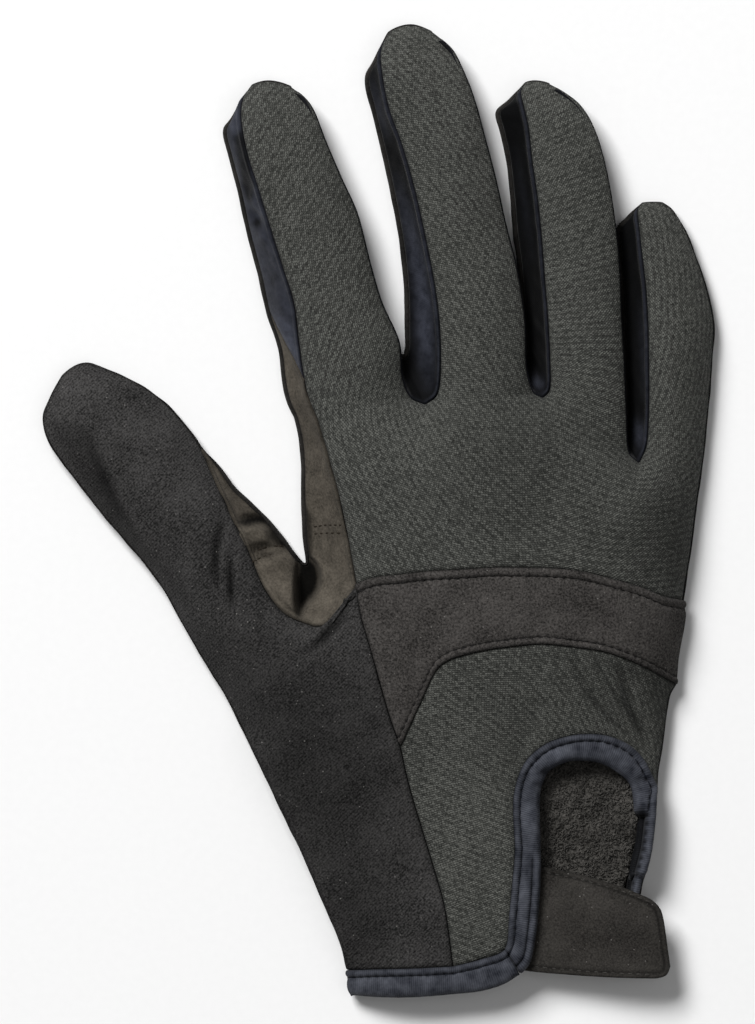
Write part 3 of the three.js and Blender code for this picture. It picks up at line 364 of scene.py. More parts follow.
def steps(count: int) -> Array:
    """Gives count equal steps from 0 to 1."""
    return np.linspace(0.0, 1.0, count + 1)


def crowded(count: int, pull: float = 0.055) -> Array:
    """Gives steps from 0 to 1 that are closer together at both ends."""
    even = steps(count)
    return even - pull * np.sin(2 * np.pi * even)


def seam_line(name: str, shares: Array) -> Array:
    """Gives points of a named line of the pattern at these shares of its length."""
    knots = np.array([(*row, 0.0)[:3] for row in LINES[name]])
    return at_shares(smooth(knots, KNOT_STEPS), shares)


def level(line: Array, z: float) -> Array:
    """Gives a copy of the line at one height; not-a-number means that it isn't known yet."""
    return np.column_stack([line[:, :2], np.full(len(line), z)])


def between(a: Array, b: Array, shares: Array) -> Array:
    """Gives points from a to b; those between the ends have no height yet."""
    row = a + (b - a) * shares[:, None]
    row[1:-1, 2] = np.nan
    return row


def edged(top: Array, bottom: Array, left: Array, right: Array) -> Array:
    """Fills a four-edged sheet. Its edges keep their heights, the inside has none yet.

    Args:
        top: First row of points.
        bottom: Last row.
        left: First column.
        right: Last column.

    Returns:
        Rows of columns of points.
    """
    v, u = steps(len(left) - 1)[:, None, None], steps(len(top) - 1)[None, :, None]
    sheet = (1 - v) * top[None] + v * bottom[None] + (1 - u) * left[:, None] + u * right[:, None]
    first = (1 - u) * top[0] + u * top[-1]
    last = (1 - u) * bottom[0] + u * bottom[-1]
    sheet = sheet - (1 - v) * first - v * last
    sheet[..., 2] = np.nan
    sheet[:, 0], sheet[:, -1], sheet[0], sheet[-1] = left, right, top, bottom
    return sheet


def cleared(sheet: Array, step: float = 0.28, depth: float = 2.4) -> Array:
    """Keeps a sheet's last rows in order beside its lower edge.

    Args:
        sheet: Rows of points, the last row being the lower edge.
        step: Least distance from the edge to the next row, in mm.
        depth: Distance that the rows' least distances level off at, in mm.

    Returns:
        The sheet.
    """
    edge = sheet[-1, :, :2]
    along = unit(np.gradient(edge, axis=0))
    inward = np.column_stack([-along[:, 1], along[:, 0]])
    for number in range(1, len(sheet) - 2):
        least = depth * (1.0 - math.exp(-number * step / depth))
        row = sheet[-1 - number, 1:-1]
        gaps = row[:, None, :2] - edge[None]
        nearest = np.argmin(np.linalg.norm(gaps, axis=2), axis=1)
        reach = np.sum(gaps[np.arange(len(row)), nearest] * inward[nearest], axis=1)
        row[:, :2] += np.maximum(0.0, least - reach)[:, None] * inward[nearest]
    return sheet


def ladder(outer: Array, inner: Array, count: int) -> Array:
    """Fills a strip between two lines of equally many points, whose heights are free."""
    shares = steps(count)[:, None, None]
    sheet = outer[None] * (1 - shares) + inner[None] * shares
    sheet[1:-1, 1:, 2] = np.nan
    sheet[1:-1, 0, 2] = outer[0, 2]
    return sheet


def smoothstep(value: Array, low: float, high: float) -> Array:
    """Gives a soft step from 0 at low to 1 at high."""
    t = np.clip((value - low) / (high - low), 0.0, 1.0)
    return t * t * (3 - 2 * t)


def hump(value: Array, middle: float, width: float) -> Array:
    """Gives a soft hump of height 1 around the middle."""
    return np.exp(-(((value - middle) / width) ** 2))


def unit(vectors: Array) -> Array:
    """Gives vectors of length 1."""
    return vectors / np.maximum(np.linalg.norm(vectors, axis=-1, keepdims=True), 1e-9)


def finder_of(points: Sequence[Array]) -> KDTree:
    """Makes a finder of the nearest of these points."""
    finder = KDTree(len(points))
    for number, place in enumerate(points):
        finder.insert(place, number)
    finder.balance()
    return finder


def ripple(points: Array, size: float, seed: float) -> Array:
    """Gives unevenness from -1 to 1 whose humps are about size mm apart, the same on every run."""
    flat = np.nan_to_num(points[:, :3]) / size + seed
    return np.array([noise.noise(Vector(place)) for place in flat])


@dataclass
class Face:
    """The outer face of one panel."""

    points: Array  # places in mm
    cells: list[tuple[int, ...]]  # corner numbers of its three- and four-cornered cells
    flat: Array | None = None  # where each point lies on the flat cloth, in mm
    across: Array | None = None  # share of the way across the panel, for strips and walls
    along: Array | None = None  # length along the panel, for strips and walls, in mm

    def normals(self) -> Array:
        """Gives the direction straight out of the face at each point."""
        out = np.zeros_like(self.points)
        for size in (3, 4):
            cells = np.array([cell for cell in self.cells if len(cell) == size])
            if len(cells):
                a, b, c = (self.points[cells[:, i]] for i in (0, 1, 2))
                d = self.points[cells[:, -1]]
                normal = np.cross(c - a, d - b) if size == 4 else np.cross(b - a, c - a)
                for corner in range(size):
                    np.add.at(out, cells[:, corner], normal)
        return unit(out)

    def rim(self) -> Array:
        """Gives the pairs of neighbours along the panel's edge, in the cells' direction."""
        pairs = {
            (cell[i], cell[(i + 1) % len(cell)]) for cell in self.cells for i in range(len(cell))
        }
        return np.array(sorted(pair for pair in pairs if pair[::-1] not in pairs))


def grid_cells(ids: Array) -> list[tuple[int, ...]]:
    """Gives the four-cornered cells of a grid of point numbers, slivers closed to triangles."""
    corners = np.stack([ids[:-1, :-1], ids[1:, :-1], ids[1:, 1:], ids[:-1, 1:]], axis=-1)
    cells = []
    for cell in corners.reshape(-1, 4).tolist():
        kept = tuple(dict.fromkeys(cell))
        if len(kept) > 2:
            cells.append(kept)
    return cells


def grid_face(sheet: Array) -> Face:
    """Makes a face of one grid of points, its first column being the start across."""
    rows, columns = sheet.shape[:2]
    along = np.repeat(travelled(sheet[:, columns // 2])[:, None], columns, axis=1)
    steps_across = np.linalg.norm(np.diff(sheet, axis=1), axis=2)
    run = np.concatenate([np.zeros((rows, 1)), np.cumsum(steps_across, axis=1)], axis=1)
    share = run / np.maximum(run[:, -1:], 1e-9)
    return Face(
        points=sheet.reshape(-1, 3),
        cells=grid_cells(np.arange(rows * columns).reshape(rows, columns)),
        flat=np.stack([along, run], axis=-1).reshape(-1, 2),
        across=share.ravel(),
        along=along.ravel(),
    )


# The pattern


@dataclass
class Pattern:
    """All seam lines of the glove, and its top sheets, whose heights aren't known yet."""

    per: int = 8  # steps between two rows of a finger's table
    finger_across: int = 20  # steps across a finger
    thumb_across: int = 34  # steps across the thumb
    hand: int = 40  # steps from the finger roots to the band
    band: int = 22  # steps down the band
    wrist: int = 54  # steps from the band to the keyhole
    fork_steps: int = 18  # steps round the thumb fork
    binding: int = 14  # steps across a binding

    def __post_init__(self) -> None:
        """Cuts every line and sheet from the tables."""
        self.shares, self.thumb_shares = crowded(self.finger_across), crowded(self.thumb_across)
        self.fingers = {name: self._finger(rows) for name, rows in FINGERS.items()}
        self._edges()
        self.sheets = self._sheets()
        self.palm = self._palm_path()

    def _finger(self, rows: Sequence[Section]) -> dict[str, Array]:
        """Runs the four long lines of one finger."""
        left = np.array([(*row.top_left, row.z_left) for row in rows])
        right = np.array([(*row.top_right, row.z_right) for row in rows])
        return {
            "top_left": smooth(left, self.per),
            "top_right": smooth(right, self.per),
            "palm_left": smooth(np.array([row.palm_left for row in rows]), self.per),
            "palm_right": smooth(np.array([row.palm_right for row in rows]), self.per),
        }

    def _shares_along(self, edge: str) -> Array:
        """Gives the shares of one edge at which the columns of all fingers cross it."""
        marks = [getattr(row, edge) for row in EDGE_SHARES]
        parts = [a + (b - a) * self.shares[1:] for a, b in zip(marks, marks[1:])]
        return np.concatenate([[0.0], *parts])

    def _edges(self) -> None:
        """Cuts the lines below the finger roots."""
        free = np.nan
        self.back_left = seam_line("back_left", steps(self.hand))
        self.back_right = level(seam_line("back_right", steps(self.hand)), PALM_SEAM_Z)
        self.band_top = level(seam_line("band_top", self._shares_along("band_top")), free)
        self.band_top[0], self.band_top[-1] = self.back_left[-1], self.back_right[-1]
        bottom = seam_line("band_bottom", self._shares_along("band_bottom"))
        self.band_bottom = level(bottom, free)
        self.band_right = level(seam_line("band_right", steps(self.band)), PALM_SEAM_Z)
        self.wrist_right = seam_line("wrist_right", steps(self.wrist))
        self.band_bottom[-1] = self.wrist_right[0]
        self.band_right[-1] = self.wrist_right[0]
        self.seam_upper = level(seam_line("thumb_seam_upper", steps(self.band)), free)
        self.seam_upper[0] = self.back_left[-1]
        self.seam_lower = level(seam_line("thumb_seam_lower", steps(self.wrist)), free)
        end = np.array([(*row, 0.0) for row in (*LINES["hem_right"], *LINES["key_outer"][1:])])
        wrist_end = at_shares(smooth(end, KNOT_STEPS), self._shares_along("wrist_end"))
        self.wrist_end = level(wrist_end, free)
        self.wrist_end[0], self.wrist_end[-1] = self.seam_lower[-1], self.wrist_right[-1]
        count = self.fork_steps + self.band + self.wrist
        self.thumb_edge = level(seam_line("thumb_left", steps(count)), PALM_SEAM_Z)
        self.fork = seam_line("fork", steps(self.fork_steps))[::-1]
        self.thumb_inner = np.vstack([self.fork, self.seam_upper[1:], self.seam_lower[1:]])
        self.hem_left = level(seam_line("hem_left", self.thumb_shares), free)
        self.hem_left[0] = self.thumb_edge[-1]
        finger = len(self.shares) - 1
        self.hem_top = np.vstack([self.hem_left, self.wrist_end[1 : finger + 1]])
        self.hem_shares = np.concatenate(
            [HEM_SPLIT * self.thumb_shares, HEM_SPLIT + (1 - HEM_SPLIT) * self.shares[1:]]
        )
        self.hem_edge = level(seam_line("hem_edge", self.hem_shares), free)
        self.hem_edge[0, 2] = PALM_SEAM_Z + TIP_LIFT
        right = seam_line("key_right", steps(self.wrist))
        self.key_top = np.vstack([self.wrist_end[finger:], right[1:]])
        self.key_edge = level(self._facing("key_edge", self.key_top), free)
        self.key_edge[0] = self.hem_edge[-1]

    def _facing(self, name: str, line: Array) -> Array:
        """Gives the point of a named line that lies opposite each point of another line."""
        dense = seam_line(name, steps(FACING_STEPS))
        gaps = np.linalg.norm(dense[None, :, :2] - line[:, None, :2], axis=2)
        share = np.maximum.accumulate(np.argmin(gaps, axis=1) / FACING_STEPS)
        share[0], share[-1] = 0.0, 1.0
        wide = np.pad(share, FACING_SPREAD, mode="reflect", reflect_type="odd")
        count = 2 * FACING_SPREAD + 1
        share = np.convolve(wide, np.ones(count) / count, mode="valid")
        return at_shares(dense, np.clip(share, 0.0, 1.0))

    def _finger_sheet(self, name: str, shares: Array) -> Array:
        """Lays a finger's back from its root to its tip, whose last rows bow round the tip."""
        line = self.fingers[name]
        left, right = line["top_left"], line["top_right"]
        sheet = np.stack([between(a, b, shares) for a, b in zip(left, right)])
        middle = (left[-1] + right[-1]) / 2
        reach = np.array([*TIPS[name], middle[2]]) - middle
        last = len(sheet) - 1
        bow = smoothstep(np.arange(len(sheet)), last - TIP_BOW_ROWS * self.per, last)
        arc = 4 * shares * (1 - shares)
        sheet[..., :2] += bow[:, None, None] * arc[None, :, None] * reach[:2]
        sheet[-1, :, 2] = middle[2]
        return sheet[::-1]

    def tip_arc(self, name: str) -> Array:
        """Gives the outline round a fingertip, from its left to its right corner."""
        shares = self.thumb_shares if name == "thumb" else self.shares
        return self._finger_sheet(name, shares)[0]

    def _sheets(self) -> dict[str, list[Array]]:
        """Lays the sheets of the glove's top, named for the solids that they replace."""
        roots = []
        for name in FOUR:
            line = self.fingers[name]
            root = between(line["top_left"][0], line["top_right"][0], self.shares)
            roots.append(root if name == "index" else root[1:])
        hand = edged(np.vstack(roots), self.band_top, self.back_left, self.back_right)
        low = [
            between(a, b, self.thumb_shares) for a, b in zip(self.thumb_edge, self.thumb_inner)
        ]
        low[-1] = self.hem_left
        band = edged(self.band_top, self.band_bottom, self.seam_upper, self.band_right)
        wrist = edged(self.band_bottom, self.wrist_end, self.seam_lower, self.wrist_right)
        return {
            "back_panel": [self._finger_sheet(name, self.shares) for name in FOUR] + [hand],
            "cross_band": [band],
            "wrist_panel": [cleared(wrist)],
            "thumb_panel": [self._finger_sheet("thumb", self.thumb_shares), np.stack(low)],
            "cuff_binding": [ladder(self.hem_top, self.hem_edge, self.binding)],
            "keyhole_binding": [ladder(self.key_top, self.key_edge, self.binding)],
        }

    def _palm_path(self) -> dict[str, Array]:
        """Walks the palm's edge from the thumb side of the cuff to the other side.

        Returns:
            The edge's points, how far the seam lies inside each, the seam's height, the
            direction outwards, and the seam's own points.
        """
        self.marks: dict[str, tuple[int, int]] = {}
        path: list[tuple[float, float, float, float]] = []

        def grown(line: Array) -> Array:
            """Gives a lip that grows from nothing at the line's start."""
            return PALM_LIP * np.minimum(1, np.arange(len(line)) / self.per)

        def add(line: Array, lips: Array | float, heights: Array | float, mark: str = "") -> None:
            """Adds a stretch of edge and keeps its place under a name."""
            start = len(path)
            lips, heights = np.broadcast_to(lips, len(line)), np.broadcast_to(heights, len(line))
            for place, lip, height in zip(line, lips, heights):
                if not path or math.dist(path[-1][:2], place[:2]) > SAME_PLACE:
                    path.append((place[0], place[1], float(lip), float(height)))
            self.marks[mark] = (max(0, start - 1), len(path))

        thumb, low = self.fingers["thumb"], PALM_SEAM_Z
        wall_end = THUMB_WALL_END * self.per
        add(self.thumb_edge[::-1], 0, low)
        add(thumb["top_left"], 0, low)
        add(self.tip_arc("thumb"), 0, low + TIP_LIFT)
        add(thumb["top_right"][wall_end:][::-1], 0, low)
        right = thumb["palm_right"][:wall_end][::-1]
        add(right, grown(right), low, "thumb_right")
        left = seam_line("palm_left", steps(self.hand))[::-1]
        add(left, PALM_LIP, low, "palm_left")
        for name in FOUR:
            line = self.fingers[name]
            add(line["palm_left"], grown(line["palm_left"])[::-1], low, f"{name}_left")
            add(self.tip_arc(name), 0, low + TIP_LIFT)
            if name == "little":
                add(line["top_right"][::-1], 0, low)
            else:
                add(line["palm_right"][::-1], grown(line["palm_right"]), low, f"{name}_right")
        add(self.back_right, 0, low)
        add(self.band_right, 0, low)
        side = np.vstack([self.wrist_right, self.key_top[-self.wrist :]])
        add(side, 0, side[:, 2])
        table = np.array(path)
        turn = unit(np.gradient(table[:, :2], axis=0))
        out = np.column_stack([-turn[:, 1], turn[:, 0]])
        for _ in range(3):
            out[1:-1] = unit(out[:-2] + 2 * out[1:-1] + out[2:])
        seam = np.column_stack([table[:, :2] - table[:, 2:3] * out, table[:, 3]])
        return {"edge": table[:, :2], "out": out, "seam": seam}

    def palm_seam(self, mark: str) -> Array:
        """Gives the palm seam's points along a named stretch."""
        start, stop = self.marks[mark]
        return self.palm["seam"][start:stop]

    def palm_sections(self) -> Array:
        """Gives cuts across the palm's turned-up strip, each from the seam to the sole."""
        edge, out = self.palm["edge"], self.palm["out"]
        knots = np.stack(
            [self.palm["seam"], level(edge, PALM_SIDE_Z), level(edge - PALM_TURN * out, 0.0)]
        )
        cuts = smooth(knots.reshape(3, -1), 2).reshape(5, len(edge), 3)
        return np.maximum(cuts.transpose(1, 0, 2), (-1e9, -1e9, 0.0))


class Cloth:
    """The top of the glove as one stretched cloth, from which its panels take their heights."""

    def __init__(self, sheets: Mapping[str, Sequence[Array]]) -> None:
        """Joins the sheets where their edges meet.

        Args:
            sheets: Grids of points by panel; a height that is not a number is free.
        """
        every = np.vstack([sheet.reshape(-1, 3) for group in sheets.values() for sheet in group])
        keys = np.round(every[:, :2], 3) + 0.0
        flat, number = np.unique(keys, axis=0, return_inverse=True)
        number = number.ravel()
        self.points = np.column_stack([flat, np.full(len(flat), np.nan)])
        known = ~np.isnan(every[:, 2])
        self.points[number[known], 2] = every[known, 2]
        self.pinned = ~np.isnan(self.points[:, 2])
        self.ids: dict[str, list[Array]] = {}
        start = 0
        for name, group in sheets.items():
            self.ids[name] = []
            for sheet in group:
                count = sheet.shape[0] * sheet.shape[1]
                self.ids[name].append(number[start : start + count].reshape(sheet.shape[:2]))
                start += count
        self.finder = finder_of(level(flat, 0.0))
        self.cells = {
            name: [cell for grid in grids for cell in grid_cells(grid)]
            for name, grids in self.ids.items()
        }
        self._settle()

    def _settle(self) -> None:
        """Finds the heights: flat between the pinned seams, held up towards the loft."""
        cells = [cell for group in self.cells.values() for cell in group]
        triangles = np.array(
            [(c[0], c[i], c[i + 1]) for c in cells for i in range(1, len(c) - 1)]
        )
        flat = self.points[:, :2]
        corners = flat[triangles]
        ab, ac = corners[:, 1] - corners[:, 0], corners[:, 2] - corners[:, 0]
        area = np.maximum(np.abs(ab[:, 0] * ac[:, 1] - ab[:, 1] * ac[:, 0]) / 2, 1e-6)
        first, second, pull = [], [], []
        patch = np.zeros(len(flat))
        for k in range(3):
            a, b, c = (triangles[:, (k + i) % 3] for i in range(3))
            dot = np.sum((flat[b] - flat[a]) * (flat[c] - flat[a]), axis=1)
            first.append(b)
            second.append(c)
            pull.append(np.maximum(0.02, dot / (4 * area)))
            np.add.at(patch, a, area / 3)
        i, j, w = np.concatenate(first), np.concatenate(second), np.concatenate(pull)
        size = len(flat)
        hold = STRETCH**2 * patch
        total = np.bincount(i, w, size) + np.bincount(j, w, size) + hold
        free = ~self.pinned

        def push(z: Array) -> Array:
            """Gives the force on each point at these heights."""
            return total * z - np.bincount(i, w * z[j], size) - np.bincount(j, w * z[i], size)

        loft = self._loft(flat)
        z = np.where(self.pinned, self.points[:, 2], loft)
        rest = np.where(free, hold * loft - push(z), 0.0)
        ease = rest / total
        way, score = ease.copy(), float(rest @ ease)
        for _ in range(SETTLE_SWEEPS):
            force = np.where(free, push(way), 0.0)
            share = score / float(way @ force)
            z, rest = z + share * way, rest - share * force
            ease = rest / total
            score, before = float(rest @ ease), score
            if score < SETTLED:
                break
            way = ease + (score / before) * way
        self.points[:, 2] = z

    @staticmethod
    def _loft(flat: Array) -> Array:
        """Gives the height at which the slack cloth would lie far from any seam."""
        hand = np.interp(flat[:, 1], LOFT_Y, LOFT_Z)
        share = smoothstep(flat[:, 0], *THUMB_LOFT_X)
        return np.minimum(THUMB_LOFT, hand) * (1 - share) + hand * share

    def seam_points(self, names: Sequence[str]) -> Array:
        """Gives close points along the edges of these panels."""
        ends = np.vstack([Face(self.points, self.cells[name]).rim() for name in names])
        a, b = self.points[ends[:, 0]], self.points[ends[:, 1]]
        shares = np.arange(8)[None, :, None] / 8
        return (a[:, None] * (1 - shares) + b[:, None] * shares).reshape(-1, 3)

    def lifted(self, line: Array) -> Array:
        """Gives the line with its heights taken from the cloth."""
        found = [self.finder.find((place[0], place[1], 0.0))[1] for place in line]
        return np.column_stack([line[:, :2], self.points[found, 2]])

    def face(self, name: str) -> Face:
        """Gives the outer face of one panel."""
        used, number = np.unique(
            np.concatenate([grid.ravel() for grid in self.ids[name]]), return_inverse=True
        )
        place = {int(old): new for new, old in enumerate(used)}
        cells = [tuple(place[corner] for corner in cell) for cell in self.cells[name]]
        return Face(self.points[used].copy(), cells)


class Bend(NamedTuple):
    """A fold or crease: a smooth line on the pattern, its half width and its height."""

    line: tuple[Place, ...]
    width: float
    height: float


class Patch(NamedTuple):
    """A raised, sunk or shaded patch: its outline on the pattern, its soft edge, its height."""

    outline: tuple[Place, ...]
    soft: float
    height: float


def within(flat: Array, outline: Array) -> Array:
    """Gives how far each place lies inside a closed outline; outside it is less than 0."""
    ring = smooth(np.vstack([outline, outline[:1]]), 6)
    a, b = ring[:-1], ring[1:]
    toward = flat[:, None] - a[None]
    side = b - a
    share = np.clip(np.sum(toward * side, axis=2) / np.sum(side**2, axis=1), 0.0, 1.0)
    gap = np.linalg.norm(toward - share[..., None] * side, axis=2).min(axis=1)
    high = (a[None, :, 1] > flat[:, None, 1]) != (b[None, :, 1] > flat[:, None, 1])
    rise = np.where(side[:, 1] == 0.0, 1e-9, side[:, 1])
    cross = a[:, 0] + (flat[:, None, 1] - a[:, 1]) * side[:, 0] / rise
    odd = np.sum(high & (flat[:, None, 0] < cross), axis=1) % 2
    return np.where(odd == 1, gap, -gap)


def bent(flat: Array, bends: Sequence[Bend | Patch]) -> Array:
    """Adds up the heights of folds and patches.

    Args:
        flat: Places on the pattern, in mm.
        bends: The folds and patches.

    Returns:
        A height for each place.
    """
    total = np.zeros(len(flat))
    for bend in bends:
        knots = np.array(bend[0], dtype=float)
        box = 3.2 * bend[1]
        near = np.all(flat > knots.min(0) - box, axis=1) & np.all(flat < knots.max(0) + box, axis=1)
        if not near.any():
            continue
        if isinstance(bend, Patch):
            reach = within(flat[near], knots)
            total[near] += bend.height * smoothstep(reach, -bend.soft, bend.soft)
            continue
        line = at_shares(smooth(knots, 12), steps(60))
        gaps = np.linalg.norm(flat[near][:, None] - line[None], axis=2)
        fade = np.sin(np.pi * (0.06 + 0.88 * np.argmin(gaps, axis=1) / 60))
        total[near] += bend.height * fade * hump(gaps.min(axis=1), 0.0, bend.width)
    return total


# Shaders


def joining(operation: str, turned: bool = False) -> Callable[["Wire", Any], "Wire"]:
    """Makes the method for one operator of a wire.

    Args:
        operation: A Math node's operation.
        turned: True if the other value comes first.

    Returns:
        The method.
    """

    def method(self: "Wire", other: Any) -> "Wire":
        """Adds the node that joins this wire and another value."""
        return self.join(operation, other, turned)

    return method


class Wire:
    """A shader value, vector or colour. Arithmetic on it adds the nodes that work it out."""

    def __init__(self, shader: "Shader", socket: bpy.types.NodeSocket) -> None:
        """Wraps an output socket."""
        self.shader, self.socket = shader, socket

    def join(self, operation: str, other: Any, turned: bool = False) -> "Wire":
        """Adds the node for one operation on this value and another.

        Args:
            operation: A Math node's operation.
            other: A wire, a number or a vector.
            turned: True if the other one comes first.

        Returns:
            The result.
        """
        pair = (other, self) if turned else (self, other)
        kinds = {item.socket.type for item in pair if isinstance(item, Wire)}
        if "RGBA" in kinds:
            settings = {"data_type": "RGBA", "blend_type": operation}
            return self.shader.node("Mix", settings, {0: 1.0, 6: pair[0], 7: pair[1]}, 2)
        if "VECTOR" in kinds:
            if operation == "MULTIPLY" and not (kinds == {"VECTOR"} and isinstance(other, Wire)):
                vector, share = (self, other) if self.socket.type == "VECTOR" else (other, self)
                settings = {"operation": "SCALE"}
                return self.shader.node("VectorMath", settings, {0: vector, "Scale": share})
            settings = {"operation": operation}
            return self.shader.node("VectorMath", settings, {0: pair[0], 1: pair[1]})
        return self.shader.node("Math", {"operation": operation}, dict(enumerate(pair)))

    __add__, __radd__ = joining("ADD"), joining("ADD", True)
    __sub__, __rsub__ = joining("SUBTRACT"), joining("SUBTRACT", True)
    __mul__, __rmul__ = joining("MULTIPLY"), joining("MULTIPLY", True)
    __truediv__ = joining("DIVIDE")

    def _alone(self, operation: str) -> "Wire":
        """Adds a Math node that takes this value alone."""
        return self.shader.node("Math", {"operation": operation}, {0: self})

    def floor(self) -> "Wire":
        """Rounds down."""
        return self._alone("FLOOR")

    def fraction(self) -> "Wire":
        """Keeps what is past the whole number."""
        return self._alone("FRACT")

    def cosine(self) -> "Wire":
        """Gives the cosine."""
        return self._alone("COSINE")

    def above(self, limit: float) -> "Wire":
        """Gives 1 where this is more than the limit."""
        return self.join("GREATER_THAN", limit)

    def clamped(self) -> "Wire":
        """Keeps this between 0 and 1."""
        return self.shader.node("Clamp", {}, {0: self})

    def ramp(self, low: float, high: float) -> "Wire":
        """Gives a soft step from 0 at low to 1 at high."""
        settings = {"interpolation_type": "SMOOTHSTEP"}
        sockets = {"Value": self, "From Min": low, "From Max": high}
        return self.shader.node("MapRange", settings, sockets)

    def parts(self) -> tuple["Wire", "Wire", "Wire"]:
        """Splits a vector."""
        first = self.shader.node("SeparateXYZ", {}, {0: self})
        rest = first.socket.node.outputs
        return first, Wire(self.shader, rest[1]), Wire(self.shader, rest[2])


class Shader:
    """One material's nodes."""

    def __init__(self, name: str) -> None:
        """Starts a material with a plain surface."""
        self.material = bpy.data.materials.new(name)
        self.material.use_nodes = True
        self.tree = self.material.node_tree
        self.surface = self.tree.nodes["Principled BSDF"]

    def node(
        self,
        kind: str,
        settings: Mapping[str, Any],
        sockets: Mapping[int | str, Any],
        output: int | str = 0,
    ) -> Wire:
        """Adds a node.

        Args:
            kind: The node's type, without the ShaderNode that all of them start with.
            settings: Its own options, set before its sockets.
            sockets: Wires or plain values for its inputs.
            output: The output that is used.

        Returns:
            That output.
        """
        made = self.tree.nodes.new(f"ShaderNode{kind}")
        for key, value in settings.items():
            setattr(made, key, value)
        for key, value in sockets.items():
            self._feed(made.inputs[key], value)
        return Wire(self, made.outputs[output])

    def _feed(self, socket: bpy.types.NodeSocket, value: Any) -> None:
        """Links a wire to a socket or sets a plain value on it."""
        if isinstance(value, Wire):
            self.tree.links.new(value.socket, socket)
        elif socket.type == "RGBA" and not isinstance(value, (int, float)):
            socket.default_value = (*value, 1.0)[:4]
        elif socket.type == "RGBA":
            socket.default_value = (value, value, value, 1.0)
        else:
            socket.default_value = value

    def place(self) -> Wire:
        """Gives the place on the object, in mm."""
        return self.node("TexCoord", {}, {}, "Object") * (1 / MM)

    def flat(self) -> Wire:
        """Gives the place on the flat cloth, in mm."""
        return self.node("UVMap", {"uv_map": "cloth"}, {})

    def tone(self) -> Wire:
        """Gives the piece's painted light and shade, with its darker seams, as a share of its
        colour.
        """
        return self.node("Attribute", {"attribute_name": "tone"}, {}, "Fac")

    def noise(self, vector: Wire, size: float, detail: float = 2.0, rough: float = 0.5) -> Wire:
        """Gives cloudy noise from 0 to 1 whose clouds are about size mm apart."""
        sockets = {"Vector": vector, "Scale": 1 / size, "Detail": detail, "Roughness": rough}
        return self.node("TexNoise", {}, sockets)

    def dots(self, vector: Wire, size: float, output: str = "Distance") -> Wire:
        """Gives the distance to, or the colour of, scattered points about size mm apart."""
        return self.node("TexVoronoi", {}, {"Vector": vector, "Scale": 1 / size}, output)

    def random(self, vector: Wire) -> Wire:
        """Gives one random number from 0 to 1 for each vector."""
        return self.node("TexWhiteNoise", {"noise_dimensions": "3D"}, {0: vector})

    def vector(self, x: Any, y: Any, z: Any = 0.0) -> Wire:
        """Joins three numbers."""
        return self.node("CombineXYZ", {}, {0: x, 1: y, 2: z})

    def mix(self, share: Any, a: Any, b: Any) -> Wire:
        """Blends from colour a to colour b."""
        return self.node("Mix", {"data_type": "RGBA"}, {0: share, 6: a, 7: b}, 2)

    def finish(
        self,
        colour: Any,
        roughness: Any,
        height: Wire | None = None,
        depth: float = 0.1,
        **plain: Any,
    ) -> Material:
        """Connects the surface.

        Args:
            colour: Base colour.
            roughness: How matt it is.
            height: Relief from 0 to 1.
            depth: How deep the relief is, in mm.
            plain: Other sockets of the surface that are the same all over.

        Returns:
            The material.
        """
        plain = {"specular_ior_level": 0.07} | plain
        self._feed(self.surface.inputs["Base Color"], colour)
        self._feed(self.surface.inputs["Roughness"], roughness)
        for key, value in plain.items():
            name = key.replace("_", " ").title().replace("Ior", "IOR")
            self._feed(self.surface.inputs[name], value)
        if height is not None:
            bump = self.node("Bump", {}, {"Distance": depth * MM, "Height": height})
            self._feed(self.surface.inputs["Normal"], bump)
        return self.material


@dataclass(frozen=True)
class KnitFinish:
    """Heathered stretch knit: every fourth stitch of a row stands out, one further each row."""

    name: str = "heather_knit"
    dark: Colour = (0.0075, 0.008, 0.0072)
    light: Colour = (0.117, 0.1195, 0.1085)
    stitch: float = 0.63
    row: float = 0.51

    def material(self) -> Material:
        """Makes the material."""
        s = Shader(self.name)
        x, y, _ = s.flat().parts()
        place = s.place()
        sway = s.noise(place, 6.0) * 0.5
        across, up = x / self.stitch + sway, y / self.row + sway * 0.7
        row = up.floor()
        over = across + row.fraction() + s.random(s.vector(row, 0.5)) * 0.35
        lot = s.random(s.vector(over.floor(), row, 0.5))
        dv = up.fraction() - 0.5
        du = over.fraction() - 0.5 + dv * 0.55
        stitch = (1.1 - 3.0 * (du * du) - 3.6 * (dv * dv)).clamped()
        twill = 0.5 + 0.5 * ((over.floor() + row) * (math.tau / 4)).cosine()
        fibre = s.noise(place, 0.3, 2.0, 0.75)
        cloud = s.noise(place, 13.0)
        height = (0.35 + 0.65 * stitch) * (0.5 + 0.5 * twill) * (0.4 + 0.9 * lot)
        # Colour share: raised stitches painted lighter and the gaps between them darker, as light
        # falls on them, times the heather's fibres and clouds and the piece's painted light and
        # shade.
        painted_light_and_heather = height * (1.0 + 4.6 * (fibre - 0.5)) * (0.8 + 0.4 * cloud) * s.tone()
        return s.finish(
            s.mix(painted_light_and_heather.clamped(), self.dark, self.light),
            0.9,
            height + 0.3 * fibre,
            0.2,
            sheen_weight=0.04,
            sheen_roughness=0.5,
        )


